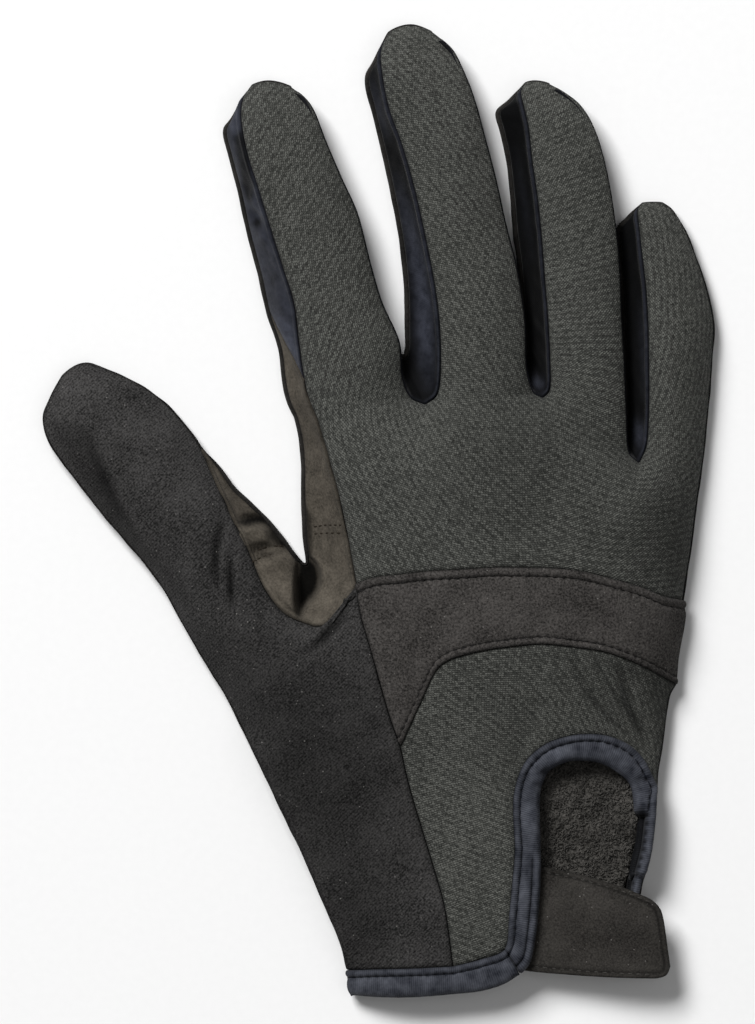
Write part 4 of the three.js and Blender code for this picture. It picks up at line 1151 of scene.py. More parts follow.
@dataclass(frozen=True)
class SuedeFinish:
    """Napped suede: fine fibres, soft clouds where the nap lies otherwise, and stray lint."""

    name: str
    dark: Colour
    light: Colour
    fibre: float = 0.42
    cloud: float = 9.0
    twill: float = 0.0
    lint: float = 0.5
    depth: float = 0.11
    grain: float = 3.0

    def material(self) -> Material:
        """Makes the material."""
        s = Shader(self.name)
        place = s.place()
        grain = s.noise(place, self.fibre, 3.0, 0.65)
        soft = s.noise(place, self.cloud, 2.0)
        share = 0.5 + self.grain * (grain - 0.5) + 0.9 * (soft - 0.5)
        height = grain
        if self.twill:
            x, y, _ = place.parts()
            rib = ((x - y) * (math.tau / 0.93)).cosine() * self.twill
            share, height = share + 0.35 * rib, height + 0.5 * rib
        colour = s.mix(share.clamped(), self.dark, self.light) * s.tone()
        stray = s.dots(place, 1.5)
        chosen = s.node("SeparateXYZ", {}, {0: s.dots(place, 1.5, "Color")})
        speck = (1 - stray.ramp(0.05, 0.15)) * grain.ramp(0.42, 0.54) * chosen.above(0.5)
        colour = s.mix(speck * self.lint, colour, (0.27, 0.26, 0.245))
        return s.finish(
            colour, 0.95, height, self.depth, sheen_weight=0.015, sheen_roughness=0.6
        )


@dataclass(frozen=True)
class TricotFinish:
    """Smooth stretch cloth with fine upright ribs and a faint sheen."""

    name: str = "navy_tricot"
    dark: Colour = (0.010, 0.0112, 0.0165)
    light: Colour = (0.036, 0.039, 0.052)
    rib: float = 0.36

    def material(self) -> Material:
        """Makes the material."""
        s = Shader(self.name)
        x, y, _ = s.flat().parts()
        place = s.place()
        ribs = 0.5 + 0.5 * (y * (math.tau / self.rib)).cosine()
        rows = 0.5 + 0.5 * (x * (math.tau / (1.4 * self.rib))).cosine()
        cloud = s.noise(place, 2.2, 3.0, 0.65)
        share = 0.25 * ribs + 0.15 * rows + 1.9 * (cloud - 0.35)
        colour = s.mix(share.clamped(), self.dark, self.light) * s.tone()
        height = 0.6 * ribs + 0.3 * rows + 0.8 * s.noise(place, 1.2, 2.0)
        return s.finish(
            colour, 0.6 + 0.2 * cloud, height, 0.06, sheen_weight=0.05, sheen_roughness=0.4
        )


@dataclass(frozen=True)
class RibFinish:
    """Folded binding tape, ribbed across its length."""

    name: str = "ribbed_binding"
    dark: Colour = (0.011, 0.0125, 0.018)
    light: Colour = (0.088, 0.0935, 0.1115)
    rib: float = 0.52

    def material(self) -> Material:
        """Makes the material."""
        s = Shader(self.name)
        x, y, _ = s.flat().parts()
        place = s.place()
        wave = x + 0.12 * (s.noise(place, 2.5) - 0.5)
        ribs = 0.5 + 0.5 * (wave * (math.tau / self.rib)).cosine()
        cloud = s.noise(place, 3.2, 3.0, 0.6)
        share = 0.16 + 0.2 * ribs + 1.6 * (cloud - 0.4)
        colour = s.mix(share.clamped(), self.dark, self.light) * s.tone()
        height = 0.6 * ribs + 0.5 * s.noise(place, 0.5)
        return s.finish(colour, 0.68, height, 0.1, sheen_weight=0.06, sheen_roughness=0.4)


@dataclass(frozen=True)
class LeatherFinish:
    """Grained palm leather with small creases."""

    name: str = "palm_leather"
    dark: Colour = (0.009, 0.0085, 0.008)
    light: Colour = (0.040, 0.037, 0.034)

    def material(self) -> Material:
        """Makes the material."""
        s = Shader(self.name)
        place = s.place()
        grain = s.dots(place, 0.9)
        cloud = s.noise(place, 7.0, 3.0)
        share = 0.35 * grain + 1.2 * (cloud - 0.3)
        colour = s.mix(share.clamped(), self.dark, self.light) * s.tone()
        height = grain.ramp(0.0, 0.6) + 0.6 * s.noise(place, 3.0, 3.0)
        return s.finish(colour, 0.75 + 0.15 * cloud, height, 0.12)


@dataclass(frozen=True)
class PileFinish:
    """Curly looped pile."""

    name: str = "loop_pile"
    dark: Colour = (0.018, 0.017, 0.015)
    light: Colour = (0.165, 0.156, 0.143)

    def material(self) -> Material:
        """Makes the material."""
        s = Shader(self.name)
        place = s.place()
        curl = s.noise(place, 0.55, 3.0, 0.7)
        cloud = s.noise(place, 4.0)
        share = 1.6 * (curl - 0.35) + 0.6 * (cloud - 0.5)
        colour = s.mix(share.clamped(), self.dark, self.light)
        return s.finish(colour, 0.95, curl, 0.3, sheen_weight=0.05, sheen_roughness=0.6)


@dataclass(frozen=True)
class ThreadFinish:
    """Twisted sewing thread."""

    name: str
    colour: Colour

    def material(self) -> Material:
        """Makes the material."""
        s = Shader(self.name)
        place = s.place()
        twist = s.noise(place, 0.25, 2.0)
        deep = tuple(0.45 * part for part in self.colour)
        return s.finish(s.mix(twist.ramp(0.3, 0.7), deep, self.colour), 0.6, twist, 0.08)


@dataclass(frozen=True)
class PaperFinish:
    """Plain pale paper for the floor."""

    name: str = "pale_paper"
    colour: Colour = (0.86, 0.86, 0.86)

    def material(self) -> Material:
        """Makes the material."""
        s = Shader(self.name)
        grey = s.noise(s.place(), 2.0).ramp(0.2, 0.8)
        deep = tuple(0.985 * part for part in self.colour)
        return s.finish(s.mix(grey, deep, self.colour), 0.9)


# Making pieces


def make_mesh(
    name: str, points: Array, cells: Sequence[tuple[int, ...]], flat: Array | None
) -> Object:
    """Makes an object of points in mm.

    Args:
        name: The object's name.
        points: Places in the pattern's frame, mm.
        cells: Corner numbers.
        flat: Each point's place on the flat cloth, or None.

    Returns:
        The object, in the scene.
    """
    mesh = bpy.data.meshes.new(name)
    mesh.from_pydata(((points + FRAME_SHIFT) * MM).tolist(), [], list(cells))
    if flat is not None:
        layer = mesh.uv_layers.new(name="cloth")
        layer.data.foreach_set("uv", flat[point_numbers(mesh)].astype(np.float32).ravel())
    mesh.polygons.foreach_set("use_smooth", np.ones(len(mesh.polygons), dtype=bool))
    mesh.update()
    made = bpy.data.objects.new(name, mesh)
    bpy.context.scene.collection.objects.link(made)
    return made


def only(made: Object) -> None:
    """Selects one object alone and makes it active."""
    if bpy.context.mode != "OBJECT":
        bpy.ops.object.mode_set(mode="OBJECT")
    bpy.ops.object.select_all(action="DESELECT")
    made.select_set(True)
    bpy.context.view_layer.objects.active = made


def point_numbers(mesh: bpy.types.Mesh) -> Array:
    """Gives the point number at each corner of a mesh's cells."""
    corners = np.empty(len(mesh.loops), dtype=np.int32)
    mesh.loops.foreach_get("vertex_index", corners)
    return corners


def doubled_area(points: Array, cells: Array) -> float:
    """Gives twice the area of the triangles that the first three corners of the cells make."""
    a, b, c = (points[cells[:, i]] for i in range(3))
    return float(np.linalg.norm(np.cross(b - a, c - a), axis=1).sum())


def unrolled(face: Face) -> Array:
    """Lays a curved face out flat, as its cloth was cut.

    Args:
        face: The face.

    Returns:
        A flat place in mm for each point, turned to lie over the face.
    """
    made = make_mesh("unrolled", face.points, face.cells, np.zeros((len(face.points), 2)))
    only(made)
    bpy.ops.object.mode_set(mode="EDIT")
    bpy.ops.mesh.select_all(action="SELECT")
    bpy.ops.uv.unwrap(method="MINIMUM_STRETCH", margin=0.0)
    bpy.ops.object.mode_set(mode="OBJECT")
    mesh = made.data
    values = np.empty(2 * len(mesh.loops), dtype=np.float32)
    mesh.uv_layers["cloth"].data.foreach_get("uv", values)
    flat = np.zeros((len(face.points), 2))
    flat[point_numbers(mesh)] = values.reshape(-1, 2)
    bpy.data.meshes.remove(mesh)
    spread = (flat[:, 0] + 1j * flat[:, 1]) - np.mean(flat[:, 0] + 1j * flat[:, 1])
    place = face.points[:, 0] + 1j * face.points[:, 1]
    turn = np.vdot(spread, place - place.mean()) / np.vdot(spread, spread)
    cells = np.array([cell[:3] for cell in face.cells])
    drawn = doubled_area(np.column_stack([spread.real, spread.imag, 0 * spread.real]), cells)
    grown = math.sqrt(doubled_area(face.points, cells) / drawn)
    laid = spread * (turn / abs(turn)) * grown + place.mean()
    return np.column_stack([laid.real, laid.imag])


def rim_reach(face: Face) -> Array:
    """Gives how far each point of a face lies from the face's rim."""
    finder = finder_of(face.points[face.rim()[:, 0]])
    return np.array([finder.find(place)[2] for place in face.points])


def thicken(
    face: Face, toward: Array, wall: float, rise: float, gap: float
) -> tuple[Array, list[tuple[int, ...]]]:
    """Gives a face its thickness: outer face, inner face and the cut edge between them.

    Args:
        face: The outer face.
        toward: Direction of the inner face's mitre at each point.
        wall: Thickness.
        rise: How far the outer face stands above the seam lines.
        gap: How far the edge stops short of its seam line.

    Returns:
        The points and the cells of the closed panel.
    """
    own, rim = face.normals(), face.rim()
    before = {b: a for a, b in rim.tolist()}
    after = {a: b for a, b in rim.tolist()}
    place = face.points + rise * own
    ids = np.array(sorted(after))
    last, following = [before[i] for i in ids], [after[i] for i in ids]
    along = place[following] - place[last]
    place[ids] += gap * unit(np.cross(own[ids], along))
    place[:, 2] = np.maximum(place[:, 2], 0.0)
    mitre = wall / np.maximum(MITRE_LIMIT, np.sum(toward * own, axis=1))
    inner = place - toward * mitre[:, None]
    inner[:, 2] = np.maximum(inner[:, 2], SOLE_LIFT)
    count = len(place)
    cells = list(face.cells)
    cells += [tuple(corner + count for corner in reversed(cell)) for cell in face.cells]
    cells += [(b, a, a + count, b + count) for a, b in rim.tolist()]
    return np.vstack([place, inner]), cells


def rounded(made: Object, levels: int = 1) -> None:
    """Smooths a piece by subdivision, the same in the view and in the render."""
    smoothing = made.modifiers.new("smoothing", "SUBSURF")
    smoothing.levels = smoothing.render_levels = levels


class Slot(Enum):
    """The record's material slots."""

    KNIT = "knit"
    SUEDE = "suede"
    BRUSHED = "brushed_suede"
    GUSSET = "gusset_suede"
    NAVY = "navy_cloth"
    PALM = "palm_leather"
    BINDING = "ribbed_binding"
    PILE = "loop_pile"


def dress(made: Object, slot: Slot, material: Material, *nodes: str) -> None:
    """Gives a piece its material and its place in the frame, and hides what it replaces."""
    made.data.materials.append(material)
    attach(made, "root")
    if nodes:
        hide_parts(*nodes)
    log.info("%s: %d faces, slot %s", made.name, len(made.data.polygons), slot.value)


@dataclass
class Panel:
    """One sewn panel."""

    name: str
    node: str  # the solid that it replaces
    slot: Slot  # its material slot
    material: Material
    wall: float = 1.3  # thickness
    rise: float = 0.0  # how far it stands above its seam lines
    gap: float = 0.04  # how far its edge stops short of the seam
    bends: tuple[Bend | Patch, ...] = ()  # folds that this panel has alone
    shades: tuple[Bend | Patch, ...] = ()  # places painted lighter or darker, mostly painted light and shade
    levels: int = 1  # how often its mesh is smoothed
    seam: float = 0.5  # how much darker it is where it is sewn in
    surface: BVHTree | None = field(default=None, repr=False)

    def face(self, glove: "Glove") -> Face:
        """Gives the panel's outer face, taken from the stretched cloth."""
        return glove.cloth.face(self.node)

    def relief(self, face: Face) -> Array:
        """Gives how far each point stands out of the plain face."""
        return bent(face.points[:, :2], self.bends)

    def shade(self, face: Face) -> Array:
        """Gives the painted light and shade at each point, as a share of its colour; 1 is usual."""
        return 1.0 + bent(face.points[:, :2], self.shades)

    def shaped(self, glove: "Glove") -> Face:
        """Gives the face with its own relief."""
        face = self.face(glove)
        face.points = face.points + self.relief(face)[:, None] * face.normals()
        return face

    def build(self, glove: "Glove") -> Object:
        """Makes the panel from its face and dresses it.

        Args:
            glove: The glove, whose seams give the mitres.

        Returns:
            The finished piece.
        """
        face = glove.faces[self.node]
        toward = glove.toward(self.node)
        points, cells = thicken(face, toward, self.wall, self.rise, self.gap)
        flat = unrolled(face) if face.flat is None else face.flat
        made = make_mesh(self.name, points, cells, np.vstack([flat, flat]))
        # Each point's share of its colour: painted light and shade, and darker where it is sewn in.
        sewn = 1.0 - self.seam * hump(rim_reach(face), 0.0, SEAM_DARK_WIDTH)
        tone = np.tile(np.clip(self.shade(face) * sewn, *PAINTED_LIGHT_RANGE), 2)
        layer = made.data.attributes.new("tone", "FLOAT", "POINT")
        layer.data.foreach_set("value", tone.astype(np.float32))
        rounded(made, self.levels)
        dress(made, self.slot, self.material, self.node)
        count = len(face.points)
        self.surface = BVHTree.FromPolygons(points[:count].tolist(), face.cells)
        return made


# The glove's panels


class Edge(Enum):
    """The two long edges of a strip."""

    OUTER = "outer"
    INNER = "inner"


class Rail(NamedTuple):
    """A lip or a stitched groove that runs along a strip: place from its edge, width, height."""

    edge: Edge
    place: float
    width: float
    height: float

    @property
    def stitched(self) -> bool:
        """Tells a groove that a row of stitches pulls in from a lip or a rolled edge."""
        return self.height < 0 and self.place > 0


@dataclass
class Strip(Panel):
    """A long panel whose rows run from its outer to its inner edge."""

    rails: tuple[Rail, ...] = ()  # lips and grooves along its edges
    pucker: float = 0.0  # share of a groove's depth that the puckers between its stitches take
    groove_shade: float = 0.45  # painted shade: how much darker the stitched grooves are
    groove_shade_swing: float = 0.8  # share of that by which it changes from stitch to stitch
    close: tuple[float, ...] = CLOSE_ROWS  # rows near the outer edge
    close_inner: tuple[float, ...] = (0.0, 0.35, 0.7, 1.1)  # the same for the inner edge
    free_rows: int = 6  # even rows between them
    corner: Place = (67.9, -67.4)  # a corner of the outer edge that is rounded off
    corner_width: float = 2.5  # how far from the corner the rounding reaches
    corner_passes: int = 10  # how often it is evened
    sheet: Array | None = field(default=None, repr=False)  # the strip's rows and columns of points

    def face(self, glove: "Glove") -> Face:
        """Gives the face with close rows at both edges, and its place across and along."""
        cloth = glove.cloth.points[glove.cloth.ids[self.node][0]]
        rows, columns = cloth.shape[:2]
        fine = smooth(cloth.transpose(1, 0, 2).reshape(columns, -1), 2).reshape(-1, rows, 3)
        lines = []
        for column in fine:
            line = smooth(column, 3)
            run = travelled(line)
            narrow = min(1.0, run[-1] / (self.close[-1] + self.close_inner[-1] + 0.8))
            outer, inner = narrow * np.array(self.close), narrow * np.array(self.close_inner)
            middle = np.linspace(outer[-1], run[-1] - inner[-1], max(3, self.free_rows))[1:-1]
            stops = np.concatenate([outer, middle, run[-1] - inner[::-1]])
            lines.append(np.stack([np.interp(stops, run, axis) for axis in line.T], axis=1))
        self.sheet = np.stack(lines, axis=1)
        for _ in range(self.corner_passes):
            eased = (self.sheet[:, :-2] + self.sheet[:, 2:]) / 2 - self.sheet[:, 1:-1]
            gaps = np.linalg.norm(self.sheet[0, 1:-1, :2] - self.corner, axis=1)
            self.sheet[:, 1:-1] += 0.5 * eased * hump(gaps, 0.0, self.corner_width)[:, None]
        rows, columns = self.sheet.shape[:2]
        steps_down = np.linalg.norm(np.diff(self.sheet, axis=0), axis=2)
        down = np.concatenate([np.zeros((1, columns)), np.cumsum(steps_down, axis=0)])
        along = np.tile(travelled(self.sheet[rows // 2]), (rows, 1))
        self.down, self.width = down, down[-1]
        return Face(
            points=self.sheet.reshape(-1, 3),
            cells=grid_cells(np.arange(rows * columns).reshape(rows, columns)),
            flat=np.stack([along, down], axis=-1).reshape(-1, 2),
            across=down.ravel(),
            along=along.ravel(),
        )

    def reach(self, face: Face, edge: Edge) -> Array:
        """Gives each point's distance to one edge."""
        if edge is Edge.OUTER:
            return face.across
        return np.tile(self.width, (self.sheet.shape[0], 1)).ravel() - face.across

    def wave(self, face: Face) -> Array:
        """Gives the puckers of the stitching, from -1 to 1 along the strip."""
        turns = face.along * (math.tau / STITCH_PITCH)
        return np.cos(turns + 1.5 * ripple(face.points, 3.0, 5.1))

    def relief(self, face: Face) -> Array:
        """Gives lips, grooves and puckers."""
        total = super().relief(face)
        wave = self.wave(face)
        for rail in self.rails:
            height = rail.height * (1.0 + self.pucker * wave) if rail.stitched else rail.height
            total = total + height * hump(self.reach(face, rail.edge), rail.place, rail.width)
        return total + 0.1 * ripple(face.points, 2.6, 8.3)

    def shade(self, face: Face) -> Array:
        """Paints shade into the stitched grooves, darkest where the puckers sink deepest."""
        total = super().shade(face)
        groove_shade = self.groove_shade * (1.0 + self.groove_shade_swing * self.wave(face))
        for rail in self.rails:
            if rail.stitched:
                total -= groove_shade * hump(self.reach(face, rail.edge), rail.place, rail.width + 0.05)
        return total

    def grooves(self) -> list[Array]:
        """Gives the lines along its stitched grooves."""
        return [self.line_at(rail.place, rail.edge) for rail in self.rails if rail.stitched]

    def line_at(self, place: float, edge: Edge = Edge.OUTER) -> Array:
        """Gives the line that lies this far from one edge."""
        line = []
        for column in range(self.sheet.shape[1]):
            reach = place if edge is Edge.OUTER else self.width[column] - place
            run = self.down[:, column]
            line.append([np.interp(reach, run, axis) for axis in self.sheet[:, column].T])
        return np.array(line)


@dataclass
class KeyholeBinding(Strip):
    """The keyhole's binding.

    Its left leg has a second groove and lip on its inner edge. The inner half of its right leg
    is folded down, and the strap presses the end of that leg flat.
    """

    leg_right: float = 45.0  # the left leg lies left of this
    leg_top: float = -85.0  # its second groove starts here
    second_lip: float = 0.9  # from the inner edge, as the groove
    second_groove: float = 2.1
    fold_left: float = 56.0  # the right leg lies right of this
    fold_top: float = -74.0  # its fold starts here
    fold_depth: float = 3.6  # how deep it is folded down
    strap_top: float = -89.5  # the strap starts here
    press: float = 2.6  # how deep the strap presses the leg

    def relief(self, face: Face) -> Array:
        """Adds the left leg's second groove, the right leg's fold and the strap's press."""
        left, inner = self.doubled(face), self.reach(face, Edge.INNER)
        lip, groove = hump(inner, self.second_lip, 0.8), hump(inner, self.second_groove, 0.35)
        total = super().relief(face) + left * (0.7 * lip - 0.8 * groove)
        low = self.below(face, self.strap_top + 0.5, 1.0) * (face.points[:, 0] > self.fold_left)
        return total - self.fold_depth * self.folded(face) - self.press * low

    @staticmethod
    def below(face: Face, start: float, reach: float = 0.8) -> Array:
        """Gives a soft step from 0 above a place on the pattern to 1 below it."""
        return smoothstep(-face.points[:, 1], -start - reach, -start + reach)

    def doubled(self, face: Face) -> Array:
        """Gives where the left leg is stitched twice."""
        return self.below(face, self.leg_top, 0.6) * (face.points[:, 0] < self.leg_right)

    def folded(self, face: Face) -> Array:
        """Gives where the right leg's inner part is folded down."""
        right = self.below(face, self.fold_top) * (face.points[:, 0] > self.fold_left)
        return right * smoothstep(face.across, 1.7, 2.7)

    def shade(self, face: Face) -> Array:
        """Paints shade into the right leg's fold, where the tape turns down, and into the second
        groove.
        """
        groove = hump(self.reach(face, Edge.INNER), self.second_groove, 0.4)
        return super().shade(face) - 0.5 * self.doubled(face) * groove - 0.9 * self.folded(face)

    def grooves(self) -> list[Array]:
        """Gives the stitched lines that show: not on the folded leg, twice on the left one."""
        outline = super().grooves()[0]
        shown = (outline[:, 0] < self.fold_left) | (outline[:, 1] > self.fold_top)
        leg = self.line_at(self.second_groove, Edge.INNER)
        return [outline[shown], leg[(leg[:, 0] < self.leg_right) & (leg[:, 1] < self.leg_top)]]


def wall_rows(
    upper: Array, lower: Array, bulge: float, lip: float | Array, count: int
) -> Array:
    """Lays a wall between a top seam and a palm seam.

    Args:
        upper: Points of the top seam.
        lower: The points opposite on the palm seam.
        bulge: How far the wall swells at mid height.
        lip: How far it rolls out just under the top seam, one for all columns or one each.
        count: Steps down the wall.

    Returns:
        Rows of columns of points; the columns run down the wall.
    """
    out = unit(np.cross(np.gradient(upper, axis=0), lower - upper))
    for _ in range(3):
        out[1:-1] = unit(out[:-2] + 2 * out[1:-1] + out[2:])
    w = steps(count) ** 1.45
    run, length = travelled(upper), np.linalg.norm(lower - upper, axis=1)
    end = smoothstep(np.minimum(run, run[-1] - run), 0.0, 4.0)[:, None]
    down = w[None, :] * length[:, None]
    roll = np.broadcast_to(lip, len(upper))[:, None] * hump(down, 0.75, 0.6)
    roll = roll * smoothstep(down, 0.0, 0.4)
    swell = end * (4 * bulge * (w * (1 - w))[None, :] + roll)
    sheet = upper[:, None] + (lower - upper)[:, None] * w[None, :, None]
    return sheet + out[:, None] * swell[..., None]


@dataclass
class Fourchette(Panel):
    """The wall between two fingers, from one tip down to the fork and up to the other tip."""

    right_of: str = ""
    left_of: str = ""
    bulge: float = -0.35  # how far it swells at mid height
    lip: float = 0.6  # how far it rolls out under the seam that shows
    deep: float = 0.03  # painted shade: share of the cloth's colour kept down in the slot
    lit: float = 0.75  # painted light: the same on the rolled lip
    hidden_lip: float = 0.1  # how far it rolls out under the seam that is hidden
    down: int = 11  # steps down the wall
    fore: Array | float = field(default=1.0, repr=False)  # how much of the lip's painted light shows, from 0.4 on the hidden side to 1 where the wall shows

    def face(self, glove: "Glove") -> Face:
        """Lays the wall."""
        pattern = glove.pattern
        cut = round(WALL_END * pattern.per)
        first = pattern.fingers[self.right_of]["top_right"][::-1]
        second = pattern.fingers[self.left_of]["top_left"]
        upper = glove.cloth.lifted(np.vstack([first[cut:-1], second[: len(second) - cut]]))
        past_fork = np.arange(len(upper)) - (len(first) - cut)
        seen = smoothstep(past_fork, -2.0, 6.0)
        lip = self.hidden_lip + (self.lip - self.hidden_lip) * seen
        self.fore = np.repeat(0.4 + 0.6 * seen, self.down + 1)
        first = pattern.palm_seam(f"{self.right_of}_right")
        second = pattern.palm_seam(f"{self.left_of}_left")
        lower = np.vstack([first[cut:-1], second[: len(second) - cut]])
        return grid_face(wall_rows(upper, lower, self.bulge, lip, self.down))

    def relief(self, face: Face) -> Array:
        """Gives the slack of the thin cloth."""
        inside = np.sin(np.pi * np.clip(face.across, 0, 1))
        slack = 0.3 * ripple(face.points, 7.0, 2.2) + 0.2 * ripple(face.points, 2.4, 4.9)
        return (super().relief(face) + slack) * inside

    def shade(self, face: Face) -> Array:
        """Gives painted light on the rolled lip and painted shade down in the slot."""
        lip = (1 - smoothstep(face.flat[:, 1], 0.7, 1.3)) * self.fore
        return self.deep + (self.lit - self.deep) * lip + super().shade(face) - 1.0


@dataclass
class IndexWall(Fourchette):
    """The navy wall on the index finger's thumb side."""

    bulge: float = 0.4
    lip: float = 0.35
    deep: float = 0.87
    lit: float = 0.87
    down: int = 15

    def face(self, glove: "Glove") -> Face:
        """Lays the wall."""
        pattern = glove.pattern
        cut = round(WALL_END * pattern.per)
        top = pattern.fingers["index"]["top_left"][GUSSET_TOP_ROW * pattern.per : -cut]
        palm = pattern.palm_seam("index_left")[GUSSET_PALM_ROW * pattern.per : -cut]
        lower = at_shares(palm, steps(len(top) - 1))
        upper = glove.cloth.lifted(top)
        return grid_face(wall_rows(upper, lower, self.bulge, self.lip, self.down))


@dataclass
class Gusset(Panel):
    """The brown gusset round the thumb fork, from the thumb's wall to the index finger's."""

    sag: float = -0.4  # how far it sinks at mid height
    lip: float = 0.35  # how far it rolls out under its top seam
    down: int = 26  # steps down the wall
    lowest: float = 3.4  # its lowest place, clear of the palm

    def face(self, glove: "Glove") -> Face:
        """Lays the gusset between its two seams."""
        pattern = glove.pattern
        wall_end = THUMB_WALL_END * pattern.per
        index_end = GUSSET_TOP_ROW * pattern.per + 1
        top = np.vstack(
            [
                pattern.fingers["thumb"]["top_right"][:wall_end][::-1],
                pattern.fork[1:],
                pattern.back_left[::-1][1:],
                pattern.fingers["index"]["top_left"][1:index_end],
            ]
        )
        foot = np.vstack(
            [
                pattern.palm_seam("thumb_right"),
                pattern.palm_seam("palm_left")[1:],
                pattern.palm_seam("index_left")[1 : GUSSET_PALM_ROW * pattern.per + 1],
            ]
        )
        top = glove.cloth.lifted(top)
        run = travelled(top)
        share = np.interp(run * GUSSET_TOP[-1] / run[-1], GUSSET_TOP, GUSSET_PALM)
        lower = at_shares(foot, share / GUSSET_PALM[-1])
        return grid_face(wall_rows(top[1:], lower[1:], self.sag, self.lip, self.down))

    def shaped(self, glove: "Glove") -> Face:
        """Lifts and sinks the gusset's folds straight up and down, clear of the palm."""
        face = self.face(glove)
        inside = np.sin(np.pi * np.clip(face.across, 0, 1)) ** 0.35
        lift = bent(face.points[:, :2], self.bends) + 0.35 * ripple(face.points, 4.0, 7.7)
        face.points[:, 2] = np.maximum(face.points[:, 2] + inside * lift, self.lowest)
        return face

    def grooves(self) -> list[Array]:
        """Gives its stitch lines, two on each side of the fork."""
        return [np.array(line) for line in GUSSET_STITCHES]


@dataclass
class PalmPanel(Panel):
    """The palm: a turned-up strip all round and the flat sole inside it."""

    def face(self, glove: "Glove") -> Face:
        """Joins the strip to the sole."""
        sections = glove.pattern.palm_sections()
        rows, columns = sections.shape[:2]
        mouth = level(smooth(np.array(LINES["palm_mouth"]), 10), 0.0)[1:-1]
        points = np.vstack([sections.reshape(-1, 3), mouth])
        ids = np.arange(rows * columns).reshape(rows, columns)
        cells = grid_cells(ids)
        ring = np.concatenate([ids[:, -1], rows * columns + np.arange(len(mouth))])
        outline = [Vector((*points[i, :2], 0.0)) for i in ring]
        for corners in tessellate_polygon([outline]):
            a, b, c = (points[ring[i]] for i in corners)
            down = (b[0] - a[0]) * (c[1] - a[1]) - (b[1] - a[1]) * (c[0] - a[0]) < 0
            cells.append(tuple(int(ring[i]) for i in (corners if down else corners[::-1])))
        flat = points[:, :2].copy()
        edge, out = glove.pattern.palm["edge"], glove.pattern.palm["out"]
        height = np.linalg.norm(sections - sections[:, -1:], axis=2)
        spread = edge[:, None] + out[:, None] * (height[..., None] - PALM_TURN)
        flat[: rows * columns] = spread.reshape(-1, 2)
        return Face(points, cells, flat)

    def relief(self, face: Face) -> Array:
        """Gives the turned-up strip its slight unevenness."""
        strip = smoothstep(face.points[:, 2], 0.3, 2.0) * (face.points[:, 2] < 5.5)
        return 0.22 * strip * ripple(face.points, 5.0, 3.3)


@dataclass
class PalmCuffBinding(Panel):
    """The binding along the palm's cuff edge, turned up at both sides."""

    across: int = 8
    along: int = 60
    clear: float = 0.6

    def face(self, glove: "Glove") -> Face:
        """Lays the binding between the palm's mouth and its hem line."""
        sections = glove.pattern.palm_sections()
        mouth = smooth(np.array(LINES["palm_mouth"]), KNOT_STEPS)[::-1]
        lines = []
        for name in ("palm_mouth", "palm_cuff"):
            line = level(smooth(np.array(LINES[name]), KNOT_STEPS)[::-1], 0.0)
            left = sections[0] + (*(line[0, :2] - mouth[0]), 0.0)
            right = sections[-1][::-1] + (*(line[-1, :2] - mouth[-1]), 0.0)
            inside = line[:, 0] > left[-1, 0] + self.clear
            inside &= line[:, 0] < right[0, 0] - self.clear
            even = at_shares(line[inside], steps(self.along))
            lines.append(np.vstack([left, even, right])[::-1])
        shares = steps(self.across)[:, None, None]
        return grid_face(lines[0][None] * (1 - shares) + lines[1][None] * shares)


@dataclass
class Strap(Panel):
    """The closure strap: suede on hook tape, with rounded corners at its free end."""

    groove: float = 1.5  # distance of the stitched groove from the rim
    deep: float = 26.0  # its usual length from the upper to the lower edge
    sewn_to: float = 67.0  # the long stitch lines end here
    across: int = 34  # steps from edge to edge
    even_rows: Place = (-20.0, -6.0)  # over these last rows the steps even out

    def face(self, glove: "Glove") -> Face:
        """Lays the strap from the keyhole's left side over the slit to its free end."""
        self.upper = smooth(np.array([(*cut.upper, cut.z) for cut in STRAP]), 8)
        self.lower = smooth(np.array([(*cut.lower, cut.z) for cut in STRAP]), 8)
        place = np.arange(len(self.upper)) - len(self.upper)
        free_end = smoothstep(place, *self.even_rows)[:, None]
        shares = crowded(self.across) * (1 - free_end) + steps(self.across) * free_end
        shares = shares[..., None]
        return grid_face(self.lower[:, None] * (1 - shares) + self.upper[:, None] * shares)

    def relief(self, face: Face) -> Array:
        """Gives rounded edges, stitched grooves and a slight wave."""
        reach = rim_reach(face)
        total = -0.3 * hump(reach, 0.0, 0.5) - 0.25 * hump(reach, self.groove, 0.35)
        total += 0.12 * ripple(face.points, 8.0, 1.9)
        return total + bent(face.points[:, :2], self.bends)

    def shaped(self, glove: "Glove") -> Face:
        """Gives the face with its relief, straight up and down."""
        face = self.face(glove)
        face.points[:, 2] += self.relief(face)
        return face

    def shade(self, face: Face) -> Array:
        """Paints shade into the stitched groove."""
        return super().shade(face) - 0.6 * hump(rim_reach(face), self.groove, 0.4)

    def grooves(self) -> list[Array]:
        """Gives the stitch lines beside its upper and its lower edge."""
        inward = (self.lower - self.upper) * (self.groove / self.deep)
        lines = [self.upper + inward, self.lower - inward]
        return [line[line[:, 0] < self.sewn_to] for line in lines]


